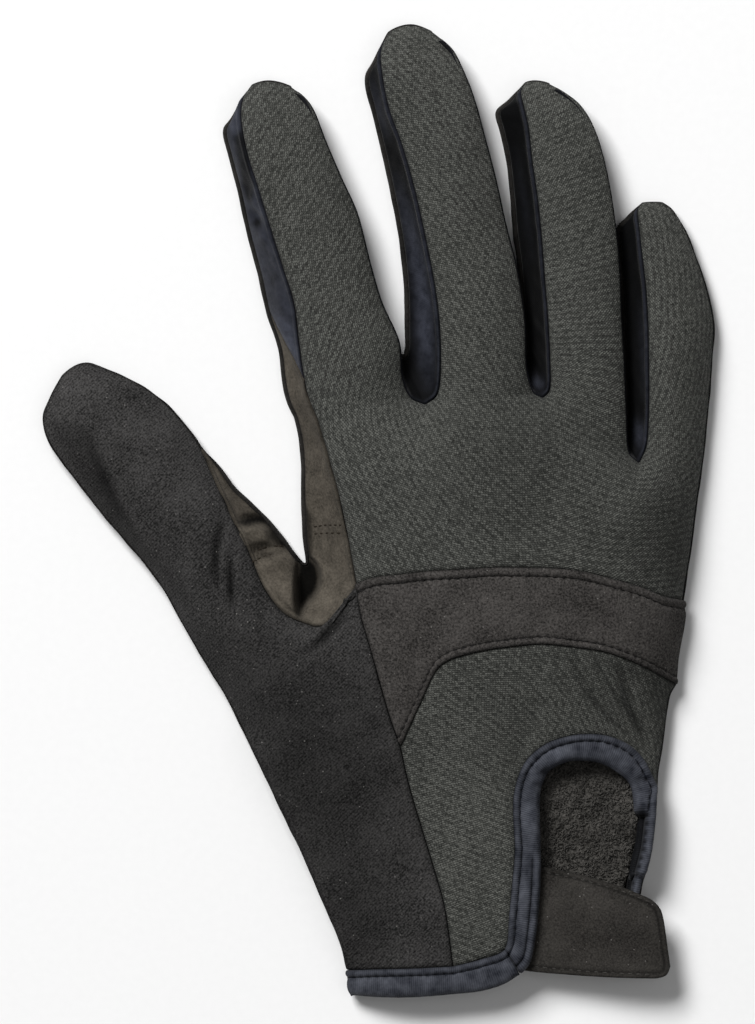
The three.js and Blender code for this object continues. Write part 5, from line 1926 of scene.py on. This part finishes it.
@dataclass
class LoopPad(Panel):
    """The loop pad under the keyhole: straight sides and a round top end."""

    left: float = 36.4
    right: float = 64.6
    low_right: float = 59.0
    low: float = -97.5
    shoulder: float = -74.0  # its round end starts here
    top: float = 3.8  # height of its face
    swell: float = 2.6  # how much higher its round end stands
    down: int = 69  # steps down the pad
    across: int = 46  # steps across it

    def face(self, glove: "Glove") -> Face:
        """Lays the pad's pile side, top row first."""
        radius = (self.right - self.left) / 2
        middle = self.left + radius
        rows = []
        for y in np.linspace(self.shoulder + 0.985 * radius, self.low, self.down + 1):
            half = math.sqrt(max(radius**2 - max(y - self.shoulder, 0.0) ** 2, 0.0))
            share = min(1.0, max(0.0, (self.shoulder - y) / (self.shoulder - self.low)))
            right = middle + half - share * (self.right - self.low_right)
            xs = (middle - half) + (right - middle + half) * crowded(self.across)
            rise = smoothstep(y, self.shoulder - 16.0, self.shoulder + 6.0)
            row = np.column_stack([xs, np.full(len(xs), y)])
            rows.append(level(row, self.top + self.swell * rise))
        return grid_face(np.stack(rows))

    def relief(self, face: Face) -> Array:
        """Gives the pile's clumps and rounded edges."""
        gaps = rim_reach(face)
        clumps = 0.3 * ripple(face.points, 2.1, 6.1) + 0.25 * ripple(face.points, 0.8, 2.7)
        return clumps * smoothstep(gaps, 0.0, 1.0) - 0.8 * hump(gaps, 0.0, 0.9)


# Threads and curls

ABOVE = 60.0  # mm, a height above every piece
DOWN = Vector((0.0, 0.0, -1.0))


@dataclass
class Motif:
    """A small shape that is modelled once and copied many times, each copy in one mesh."""

    points: Array
    cells: list[tuple[int, ...]]

    @classmethod
    def taken_from(cls, made: Object) -> "Motif":
        """Takes the shape of a small object made in mm, and removes the object."""
        points = np.array([corner.co for corner in made.data.vertices])
        cells = [tuple(cell.vertices) for cell in made.data.polygons]
        bpy.data.meshes.remove(made.data)
        return cls(points, cells)

    def copies(self, places: Array, turns: Array) -> tuple[Array, list[tuple[int, ...]]]:
        """Copies the shape.

        Args:
            places: Where each copy goes.
            turns: Three directions for each copy: its own X, Y and Z.

        Returns:
            All points and all cells.
        """
        every = places[:, None] + np.einsum("pk,nkd->npd", self.points, turns)
        size = len(self.points)
        cells = [
            tuple(corner + size * n for corner in cell)
            for n in range(len(places))
            for cell in self.cells
        ]
        return every.reshape(-1, 3), cells


def stitch_motif(
    length: float = 1.9, width: float = 0.44, thick: float = 0.34, dive: float = 0.22
) -> Motif:
    """Models one stitch: a rounded thread whose ends dive into the cloth.

    Args:
        length: Its length.
        width: Its width.
        thick: Its thickness.
        dive: How far its ends lie below its middle.

    Returns:
        The stitch, along X.
    """
    bpy.ops.object.select_all(action="DESELECT")
    bpy.ops.mesh.primitive_uv_sphere_add(segments=8, ring_count=6, radius=0.5)
    made = bpy.context.active_object
    bpy.ops.object.mode_set(mode="EDIT")
    bpy.ops.mesh.select_all(action="SELECT")
    bpy.ops.transform.rotate(value=math.pi / 2, orient_axis="Y", center_override=(0, 0, 0))
    bpy.ops.transform.resize(value=(length, width, thick))
    bpy.ops.object.mode_set(mode="OBJECT")
    for corner in made.data.vertices:
        corner.co.z -= dive * (2 * corner.co.x / length) ** 2
    return Motif.taken_from(made)


def curl_motif() -> Motif:
    """Models one loop of the pile."""
    bpy.ops.object.select_all(action="DESELECT")
    bpy.ops.mesh.primitive_torus_add(
        major_segments=7, minor_segments=3, major_radius=0.38, minor_radius=0.13
    )
    return Motif.taken_from(bpy.context.active_object)


def frames(along: Array, up: Array) -> Array:
    """Gives three directions for each copy: along, sideways and up."""
    side = unit(np.cross(up, along))
    return np.stack([unit(along), side, unit(np.cross(along, side))], axis=1)


@dataclass
class Stitching:
    """Rows of stitches sunk into one panel."""

    name: str
    panel: Panel
    material: Material
    pitch: float
    sink: float = 0.02

    def build(self, lines: Sequence[Array], motif: Motif) -> Object:
        """Copies a stitch along lines on the panel.

        Args:
            lines: Lines on or near the panel.
            motif: The stitch.

        Returns:
            The finished piece.
        """
        places, along, up = [], [], []
        for line in lines:
            flat = level(line, 0.0)
            count = max(2, int(travelled(flat)[-1] / self.pitch))
            even = at_shares(flat, (np.arange(count) + 0.5) / count)
            landed = [self.panel.surface.ray_cast(Vector((*p[:2], ABOVE)), DOWN) for p in even]
            spots = np.array([tuple(hit[0]) if hit[0] else (math.nan,) * 3 for hit in landed])
            faces = np.array([tuple(hit[1]) if hit[1] else (0, 0, 1) for hit in landed])
            kept = ~np.isnan(spots[:, 0])
            if kept.sum() > 2:
                spots, faces = spots[kept], faces[kept]
                places.append(spots - self.sink * faces)
                along.append(np.gradient(spots, axis=0))
                up.append(faces)
        turns = frames(np.vstack(along), np.vstack(up))
        points, cells = motif.copies(np.vstack(places), turns)
        made = make_mesh(self.name, points, cells, None)
        dress(made, self.panel.slot, self.material)
        return made


@dataclass
class Pile:
    """The loop pad's curls."""

    name: str
    pad: LoopPad
    material: Material
    count: int = 2400
    lift: float = 0.08  # how far their middles stand above the pad
    margin: float = 0.5  # how far inside the pad's box they stay
    top: float = 13.6  # how far above the shoulder they reach
    sizes: Place = (0.75, 1.3)  # smallest and largest, as shares of the motif
    seed: int = 11  # picks one scatter

    def build(self, motif: Motif) -> Object:
        """Scatters turned copies of one curl over the pad."""
        chance = np.random.default_rng(self.seed)
        spots = []
        while len(spots) < self.count:
            x = chance.uniform(self.pad.left + self.margin, self.pad.right - self.margin)
            y = chance.uniform(self.pad.low + self.margin, self.pad.shoulder + self.top)
            spot = self.pad.surface.ray_cast(Vector((x, y, ABOVE)), DOWN)[0]
            if spot:
                spots.append(tuple(spot))
        places = np.array(spots) + (0, 0, self.lift)
        along = unit(chance.normal(size=(self.count, 3)) * (1, 1, 0.5))
        up = unit(chance.normal(size=(self.count, 3)) + (0, 0, 0.3))
        turns = frames(along, up) * chance.uniform(*self.sizes, size=(self.count, 1, 1))
        points, cells = motif.copies(places, turns)
        made = make_mesh(self.name, points, cells, None)
        dress(made, self.pad.slot, self.material)
        return made


# The whole glove


VIEW_MIDDLE = (378.5, 511.0)  # the pattern's origin on the 755 by 1024 view
VIEW_STEP = 0.245  # mm for each step on the view


def px(*places: Place) -> tuple[Place, ...]:
    """Turns places on the 755 by 1024 view into places on the pattern, in mm."""
    across, down = VIEW_MIDDLE
    return tuple(((x - across) * VIEW_STEP, (down - y) * VIEW_STEP) for x, y in places)


def marks(kind: type, *rows: tuple[float, ...]) -> tuple[Bend | Patch, ...]:
    """Makes folds or patches from rows: width or soft edge, height, then the view's x, y, x, y."""
    return tuple(kind(px(*zip(row[2::2], row[3::2])), *row[:2]) for row in rows)


FOLDS = marks(
    Bend,
    (2, 1, 104, 453, 116, 488, 133, 526, 150, 552),
    (0.9, -1.7, 226, 520, 218, 543, 216, 571, 218, 592),
    (1.1, 0.5, 231, 530, 226, 550, 225, 575),
    (0.8, -1.6, 232, 553, 231, 584, 232, 613),
    (1, -0.4, 199, 543, 201, 571),
    (1, -0.5, 264, 605, 261, 628),
    (0.9, -1.5, 350, 602, 338, 620, 328, 632, 319, 641, 304, 652),
    (1.5, 0.8, 353, 604, 342, 624, 330, 640, 316, 654),
    (1.5, -1.3, 576, 648, 586, 682, 608, 712, 628, 734, 638, 752),
    (1.2, -1.1, 620, 672, 630, 706, 640, 730, 646, 752),
    (1.5, 1.2, 600, 660, 616, 690, 634, 722),
    (1.6, -0.7, 530, 650, 560, 700, 590, 735),
    (1.5, -0.4, 662, 672, 666, 710, 664, 740),
    (4, 0.5, 420, 395, 440, 430, 450, 480),
    (4, 0.4, 540, 390, 545, 430, 540, 480),
    (4, 0.4, 640, 470, 630, 510, 615, 545),
)
HOLLOW = (
    299, 561, 308, 559, 316, 565, 319, 578, 316, 591, 309, 600,
    303, 608, 300, 615, 298, 604, 297, 583,
)  # the dark hollow of the thumb fork
GUSSET_FOLDS = marks(
    Bend,
    (0.9, -2.4, 238, 521, 252, 518, 266, 519, 281, 531),
    (0.7, -1, 245, 550, 262, 545, 282, 544),
    (0.8, 0.9, 248, 557, 262, 551, 276, 549, 290, 552),
    (2.6, 0.8, 332, 500, 336, 540, 334, 575),
) + marks(
    Patch,
    (1, -8, *HOLLOW),
    (1.5, 3, 254, 564, 270, 556, 286, 554, 296, 562, 297, 600, 296, 612, 285, 606, 270, 590),
    (1, 2.4, 240, 530, 252, 526, 268, 529, 280, 538, 284, 545, 268, 544, 250, 548, 244, 542),
    (0.8, -2, 268, 529, 277, 530, 286, 538, 294, 548, 285, 549, 276, 544, 268, 538),
)
# Painted shade on the gusset: painted shadow filling the fork's hollow, painted shade in the
# creases above and below the stitched ridge, at the upper pad's right end and beside the right leg,
# painted light on the lower pad, and broad darker stretches up both legs.
GUSSET_SHADES = marks(
    Bend,
    (0.55, -0.8, 243, 556, 255, 550, 268, 546, 284, 545),
    (0.55, -0.6, 250, 563, 262, 556, 274, 553, 286, 552),
    (0.75, -0.6, 238, 524, 252, 520, 264, 520, 280, 531),
    (6, -0.2, 346, 430, 346, 500, 342, 560),
    (3, -0.3, 225, 490, 240, 503, 256, 508),
    (3, -0.2, 300, 380, 306, 420, 318, 470),
    (3, 0.15, 268, 575, 280, 592, 290, 606),
) + marks(
    Patch,
    (1, -1, *HOLLOW),
    (0.8, -0.88, 270, 529, 277, 530, 286, 538, 296, 550, 285, 548, 276, 543, 269, 538),
    (0.9, -0.6, 237, 522, 246, 517, 262, 510, 274, 520, 285, 533, 272, 527, 258, 525, 246, 526),
    (0.5, -0.7, 303, 508, 309, 510, 312, 535, 312, 556, 306, 554, 302, 530),
)
# Painted shade on the thumb: in its creases, in the tuck under the gusset, and along its left side
# beyond the ridge, where the suede turns down from the light; broad darker stretches over its lower
# part towards the cuff.
THUMB_SHADES = marks(
    Bend,
    (1.9, -0.5, 86, 436, 99, 464, 113, 498, 129, 528),
    (2.6, -0.3, 147, 543, 165, 570, 185, 602),
    (0.65, -1, 226, 522, 218, 543, 216, 571, 218, 588),
    (0.65, -1, 232, 557, 231, 584, 232, 609),
    (0.9, -0.25, 199, 543, 201, 571),
    (0.9, -0.25, 264, 605, 261, 628),
    (1.1, -1, 350, 602, 338, 620, 328, 632, 319, 641, 304, 652),
    (14, -0.42, 200, 600, 260, 700, 320, 840, 360, 930),
    (9, -0.3, 345, 870, 365, 930, 385, 975),
    (12, -0.2, 300, 640, 360, 760, 400, 900),
) + marks(
    Patch,
    (
        0.8, -0.26, 50, 420, 70, 422, 90, 430, 112, 482, 136, 530, 150, 560, 134, 556, 104, 512,
        74, 466,
    ),
)
# Painted light and shade on the index finger's wall: shade in its pinched dent, light on the bulge
# and rims beside it and on a pale patch at its foot, and darker patches higher up.
INDEX_WALL_SHADES = marks(
    Bend,
    (0.6, 0.4, 246, 138, 252, 165, 257, 192),
    (1.2, -1, 255, 218, 260, 228),
    (0.9, 0.5, 250, 206, 258, 211, 266, 222),
    (1.2, 0.3, 252, 236, 258, 262, 264, 290),
    (1.2, -0.3, 272, 268, 276, 286),
    (0.9, -0.35, 268, 296, 280, 306),
) + marks(
    Patch,
    (0.7, -0.75, 234, 138, 243, 134, 249, 160, 254, 185, 252, 200, 246, 198, 239, 165),
    (0.8, 0.45, 226, 120, 236, 110, 241, 126, 234, 134),
    (1.2, 0.75, 270, 316, 284, 320, 296, 340, 299, 366, 288, 352),
)
INDEX_WALL_FOLDS = marks(
    Bend,
    (1.2, -1.3, 248, 210, 256, 218, 262, 226),
    (2, 0.9, 262, 234, 266, 244),
    (1.6, -0.6, 244, 180, 250, 196),
)
# Painted light on the slot walls: the strip beside each finger's seam that light reaches, and the
# pocket at the fork.
SLOT_SHADES = {
    "index": marks(
        Bend,
        (1.3, 0.5, 371, 78, 377, 100, 388, 140),
        (2.1, 1.15, 396, 180, 410, 228, 419, 270, 425, 312, 428, 352, 430, 385),
        (1.8, 0.4, 418, 300, 422, 335, 424, 372),
    ),
    "middle": marks(
        Bend,
        (1, 0.15, 516, 150, 524, 200, 532, 260),
        (1.3, 0.75, 532, 376, 538, 384, 543, 380),
    ),
    "ring": marks(
        Bend,
        (0.9, 0.25, 640, 300, 643, 360, 643, 400),
        (1.7, 0.7, 634, 420, 640, 432, 642, 450),
    ),
}
# Painted shade over the middle and the right side of the back, darkest towards the little finger's
# edge, which turns from the light; a faint strip of painted light on the middle finger.
KNIT_SHADES = marks(
    Bend,
    (16, -0.33, 500, 380, 520, 450, 540, 560),
    (6, -0.3, 660, 470, 675, 540, 680, 590),
    (5, -0.2, 600, 520, 640, 560, 672, 590),
    (10, -0.16, 640, 460, 640, 560),
    (4, 0.1, 450, 60, 455, 150),
)
# Painted shade in the wrist's folds, below the band and down its right side, which turns from the
# light; painted light down its left side.
WRIST_SHADES = marks(
    Bend,
    (0.9, -0.6, 566, 645, 580, 682, 604, 712, 628, 736, 638, 754),
    (0.8, -0.5, 590, 650, 608, 684, 632, 718, 646, 750),
    (0.9, -0.5, 616, 660, 628, 700, 640, 728, 648, 752),
    (3.6, -0.4, 648, 668, 660, 700, 662, 745),
    (9, 0.26, 440, 660, 450, 760, 470, 900),
    (4, -0.15, 520, 650, 600, 660, 650, 690),
    (0.9, -0.2, 556, 660, 566, 690, 580, 712),
)
KEY_FOLDS = marks(
    Bend,
    (1.3, -1.2, 541, 768, 548, 776),
    (1, -0.7, 533, 782, 541, 790),
    (1.2, -0.8, 636, 775, 645, 790),
)
# Painted shade in the keyhole tape's crumples and at the top of its folded leg; painted highlights
# beside the crumple and down its left leg.
KEY_SHADES = marks(
    Bend,
    (1.1, -0.5, 540, 770, 547, 776),
    (1.6, 0.35, 548, 758, 565, 750),
    (1.5, 0.25, 530, 800, 528, 830),
    (1.2, -0.6, 635, 808, 646, 812),
)
BAND_RAILS = (
    Rail(Edge.OUTER, 0.8, 0.62, 0.5),
    Rail(Edge.OUTER, 1.95, 0.38, -0.62),
    Rail(Edge.OUTER, 2.7, 0.5, 0.12),
    Rail(Edge.INNER, 0.7, 0.5, 0.28),
    Rail(Edge.INNER, 1.6, 0.34, -0.45),
)
TAPE_RAILS = (
    Rail(Edge.OUTER, 0.75, 0.55, 0.55),
    Rail(Edge.OUTER, 1.75, 0.36, -0.75),
    Rail(Edge.OUTER, 3.8, 1.7, 0.4),
    Rail(Edge.INNER, 0.0, 0.8, -0.9),
)
BAND_ROWS = (0.0, 0.3, 0.65, 1.0, 1.3, 1.6, 1.9, 2.3)  # mm from its inner edge
KEY_ROWS = (0.0, 0.35, 0.7, 1.05, 1.4, 1.75, 2.1, 2.45, 2.9)
GUSSET_STITCHES = (
    px((247, 555), (258, 550), (270, 546), (284, 546)),
    px((252, 562), (262, 557), (273, 554)),
    px((313, 527), (326, 525), (343, 525)),
    px((313, 534), (327, 533), (341, 533)),
)
UNSEWN = ("closure_strap", "loop_pad")  # these lie on the glove and share no seam


class Glove:
    """The glove's pattern, its stretched cloth, and the faces of its panels."""

    def __init__(self) -> None:
        """Cuts the pattern and stretches the cloth over it."""
        self.pattern = Pattern()
        self.cloth = Cloth(self.pattern.sheets)
        self._fold()
        self.faces: dict[str, Face] = {}

    def _fold(self) -> None:
        """Lays folds into the cloth and sinks its seams."""
        points = self.cloth.points
        finder = finder_of(level(self.cloth.seam_points(list(self.pattern.sheets)), 0.0))
        flat = level(points, 0.0)
        gaps = np.array([finder.find(place)[2] for place in flat])
        loose = smoothstep(points[:, 2], *SLACK_Z)
        uneven = 0.4 * ripple(flat, 16.0, 1.3) + 0.13 * ripple(flat, 5.0, 9.2)
        points[:, 2] += loose * (bent(points[:, :2], FOLDS) + uneven)
        clear = smoothstep(points[:, 2], PALM_SEAM_Z + 0.1, 6.0)
        points[:, 2] -= SEAM_SINK * hump(gaps, 0.0, SEAM_SINK_WIDTH) * clear

    def sew(self, panels: Sequence[Panel]) -> None:
        """Shapes every face and finds the directions in which neighbours mitre."""
        self.faces = {panel.node: panel.shaped(self) for panel in panels}
        self.outs = {node: face.normals() for node, face in self.faces.items()}
        self.rims = {node: np.unique(face.rim()) for node, face in self.faces.items()}
        self.owner = [(node, int(corner)) for node, rim in self.rims.items() for corner in rim]
        self.seams = finder_of([self.faces[node].points[corner] for node, corner in self.owner])

    def toward(self, node: str) -> Array:
        """Gives the mitre direction at each point of a panel."""
        toward = self.outs[node].copy()
        for corner in self.rims[node]:
            near: dict[str, Array] = {}
            place = self.faces[node].points[corner]
            for _, number, _ in self.seams.find_range(place, MITRE_REACH):
                other, its_corner = self.owner[number]
                if other != node and other not in near:
                    near[other] = self.outs[other][its_corner]
            if near and node not in UNSEWN:
                toward[corner] = toward[corner] + sum(near.values())
        return unit(toward)


@dataclass
class Studio:
    """A pale floor, soft light and a camera straight above the glove."""

    view_height: float = 250.9 * MM
    middle: Place = (-0.245 * MM, -0.278 * MM)
    distance: float = 5.0
    sensor: float = 36.0

    def floor(self) -> None:
        """Lays the floor."""
        bpy.ops.object.select_all(action="DESELECT")
        bpy.ops.mesh.primitive_plane_add(size=6.0, location=(0, 0, 0))
        made = bpy.context.active_object
        made.name = "floor"
        made.data.materials.append(PaperFinish().material())

    def lamp(
        self, name: str, place: tuple[float, float, float], size: float, power: float
    ) -> None:
        """Hangs a square soft lamp that faces the glove."""
        data = bpy.data.lights.new(name, "AREA")
        data.shape, data.size, data.energy = "SQUARE", size, power
        made = bpy.data.objects.new(name, data)
        made.location = place
        made.rotation_mode = "QUATERNION"
        made.rotation_quaternion = (-Vector(place)).to_track_quat("-Z", "Y")
        bpy.context.scene.collection.objects.link(made)

    def light(self) -> None:
        """Hangs the lamps and sets the pale surroundings."""
        self.lamp("key", (-1.30, 1.90, 2.50), 1.4, 148.0)
        self.lamp("fill", (1.0, -0.4, 3.1), 2.6, 14.0)
        world = bpy.data.worlds.new("studio")
        world.use_nodes = True
        backdrop = world.node_tree.nodes["Background"]
        backdrop.inputs["Color"].default_value = (1.0, 1.0, 1.0, 1.0)
        backdrop.inputs["Strength"].default_value = 0.13
        bpy.context.scene.world = world
        bpy.context.scene.view_settings.view_transform = "Standard"

    def camera(self) -> None:
        """Puts the camera straight above, its view as high as the photograph's frame."""
        data = bpy.data.cameras.new("camera")
        data.sensor_width = self.sensor
        data.lens = self.sensor * self.distance / self.view_height
        data.clip_start, data.clip_end = 0.1, 20.0
        made = bpy.data.objects.new("camera", data)
        made.location = (*self.middle, self.distance)
        bpy.context.scene.collection.objects.link(made)
        bpy.context.scene.camera = made


def main() -> None:
    """Builds the studio and every piece of the glove."""
    logging.basicConfig(level=logging.INFO, format="%(name)s: %(message)s")
    studio = Studio()
    studio.camera()
    glove = Glove()
    log.info("pattern: %d points of cloth", len(glove.cloth.points))
    knit = KnitFinish().material()
    band_suede = SuedeFinish("band_suede", (0.012, 0.011, 0.0103), (0.075, 0.0695, 0.0655), 0.5)
    strap_suede = SuedeFinish(
        "strap_suede", (0.009, 0.0083, 0.0075), (0.050, 0.0463, 0.0418), 0.45, grain=2.0
    )
    brushed = SuedeFinish(
        "brushed_suede", (0.0075, 0.0073, 0.0072), (0.059, 0.0570, 0.0560), 0.5, 12.0, 0.3, 0.5
    )
    gusset_suede = SuedeFinish(
        "gusset_suede", (0.021, 0.0183, 0.0145), (0.118, 0.103, 0.083), 0.6, 4.0, lint=0.0,
        depth=0.09, grain=1.3,
    )
    navy = TricotFinish().material()
    leather = LeatherFinish().material()
    ribbed = RibFinish().material()
    pile = PileFinish().material()
    dark_thread = ThreadFinish("dark_thread", (0.014, 0.013, 0.013)).material()
    strap_thread = ThreadFinish("strap_thread", (0.052, 0.049, 0.045)).material()
    navy_thread = ThreadFinish("navy_thread", (0.012, 0.014, 0.021)).material()
    brown_thread = ThreadFinish("brown_thread", (0.028, 0.022, 0.016)).material()
    back = Panel("knit_back", "back_panel", Slot.KNIT, knit, shades=KNIT_SHADES)
    band = Strip(
        "suede_cross_band", "cross_band", Slot.SUEDE, band_suede.material(), rise=BAND_RISE,
        rails=BAND_RAILS, pucker=0.6, close_inner=BAND_ROWS, free_rows=9,
    )
    wrist = Panel("knit_wrist", "wrist_panel", Slot.KNIT, knit, shades=WRIST_SHADES)
    thumb = Panel(
        "suede_thumb", "thumb_panel", Slot.BRUSHED, brushed.material(), shades=THUMB_SHADES
    )
    gusset = Gusset(
        "suede_gusset", "thumb_gusset", Slot.GUSSET, gusset_suede.material(),
        bends=GUSSET_FOLDS, shades=GUSSET_SHADES,
    )
    index_wall = IndexWall(
        "navy_index_wall", "index_side_wall", Slot.NAVY, navy,
        bends=INDEX_WALL_FOLDS, shades=INDEX_WALL_SHADES,
    )
    walls = [
        Fourchette(
            f"navy_fourchette_{a}_{b}", f"fourchette_{a}_{b}", Slot.NAVY, navy,
            shades=SLOT_SHADES[a], right_of=a, left_of=b,
        )
        for a, b in zip(FOUR, FOUR[1:])
    ]
    palm = PalmPanel("leather_palm", "palm_panel", Slot.PALM, leather)
    key = KeyholeBinding(
        "keyhole_tape", "keyhole_binding", Slot.BINDING, ribbed, TAPE_WALL, TAPE_RISE,
        bends=KEY_FOLDS, shades=KEY_SHADES, rails=TAPE_RAILS, pucker=0.7, close_inner=KEY_ROWS,
    )
    hem = Strip(
        "cuff_tape", "cuff_binding", Slot.BINDING, ribbed, TAPE_WALL, TAPE_RISE,
        rails=TAPE_RAILS, pucker=0.5,
    )
    palm_hem = PalmCuffBinding(
        "palm_cuff_tape", "palm_cuff_binding", Slot.BINDING, ribbed, TAPE_WALL
    )
    strap = Strap(
        "suede_strap", "closure_strap", Slot.SUEDE, strap_suede.material(), STRAP_WALL
    )
    pad = LoopPad("pile_pad", "loop_pad", Slot.PILE, pile, PAD_WALL, levels=0)
    panels = [back, band, wrist, thumb, gusset, index_wall, *walls, palm, key, hem]
    panels += [palm_hem, strap, pad]
    glove.sew(panels)
    for panel in panels:
        panel.build(glove)
    stitch = stitch_motif()
    for name, panel, thread, pitch in (
        ("band_stitches", band, dark_thread, STITCH_PITCH),
        ("keyhole_stitches", key, navy_thread, STITCH_PITCH),
        ("cuff_stitches", hem, navy_thread, STITCH_PITCH),
        ("strap_stitches", strap, strap_thread, STRAP_PITCH),
        ("gusset_stitches", gusset, brown_thread, GUSSET_PITCH),
    ):
        Stitching(name, panel, thread, pitch).build(panel.grooves(), stitch)
    Pile("pile_curls", pad, pile).build(curl_motif())
    studio.floor()
    studio.light()


if __name__ == "__main__":
    main()
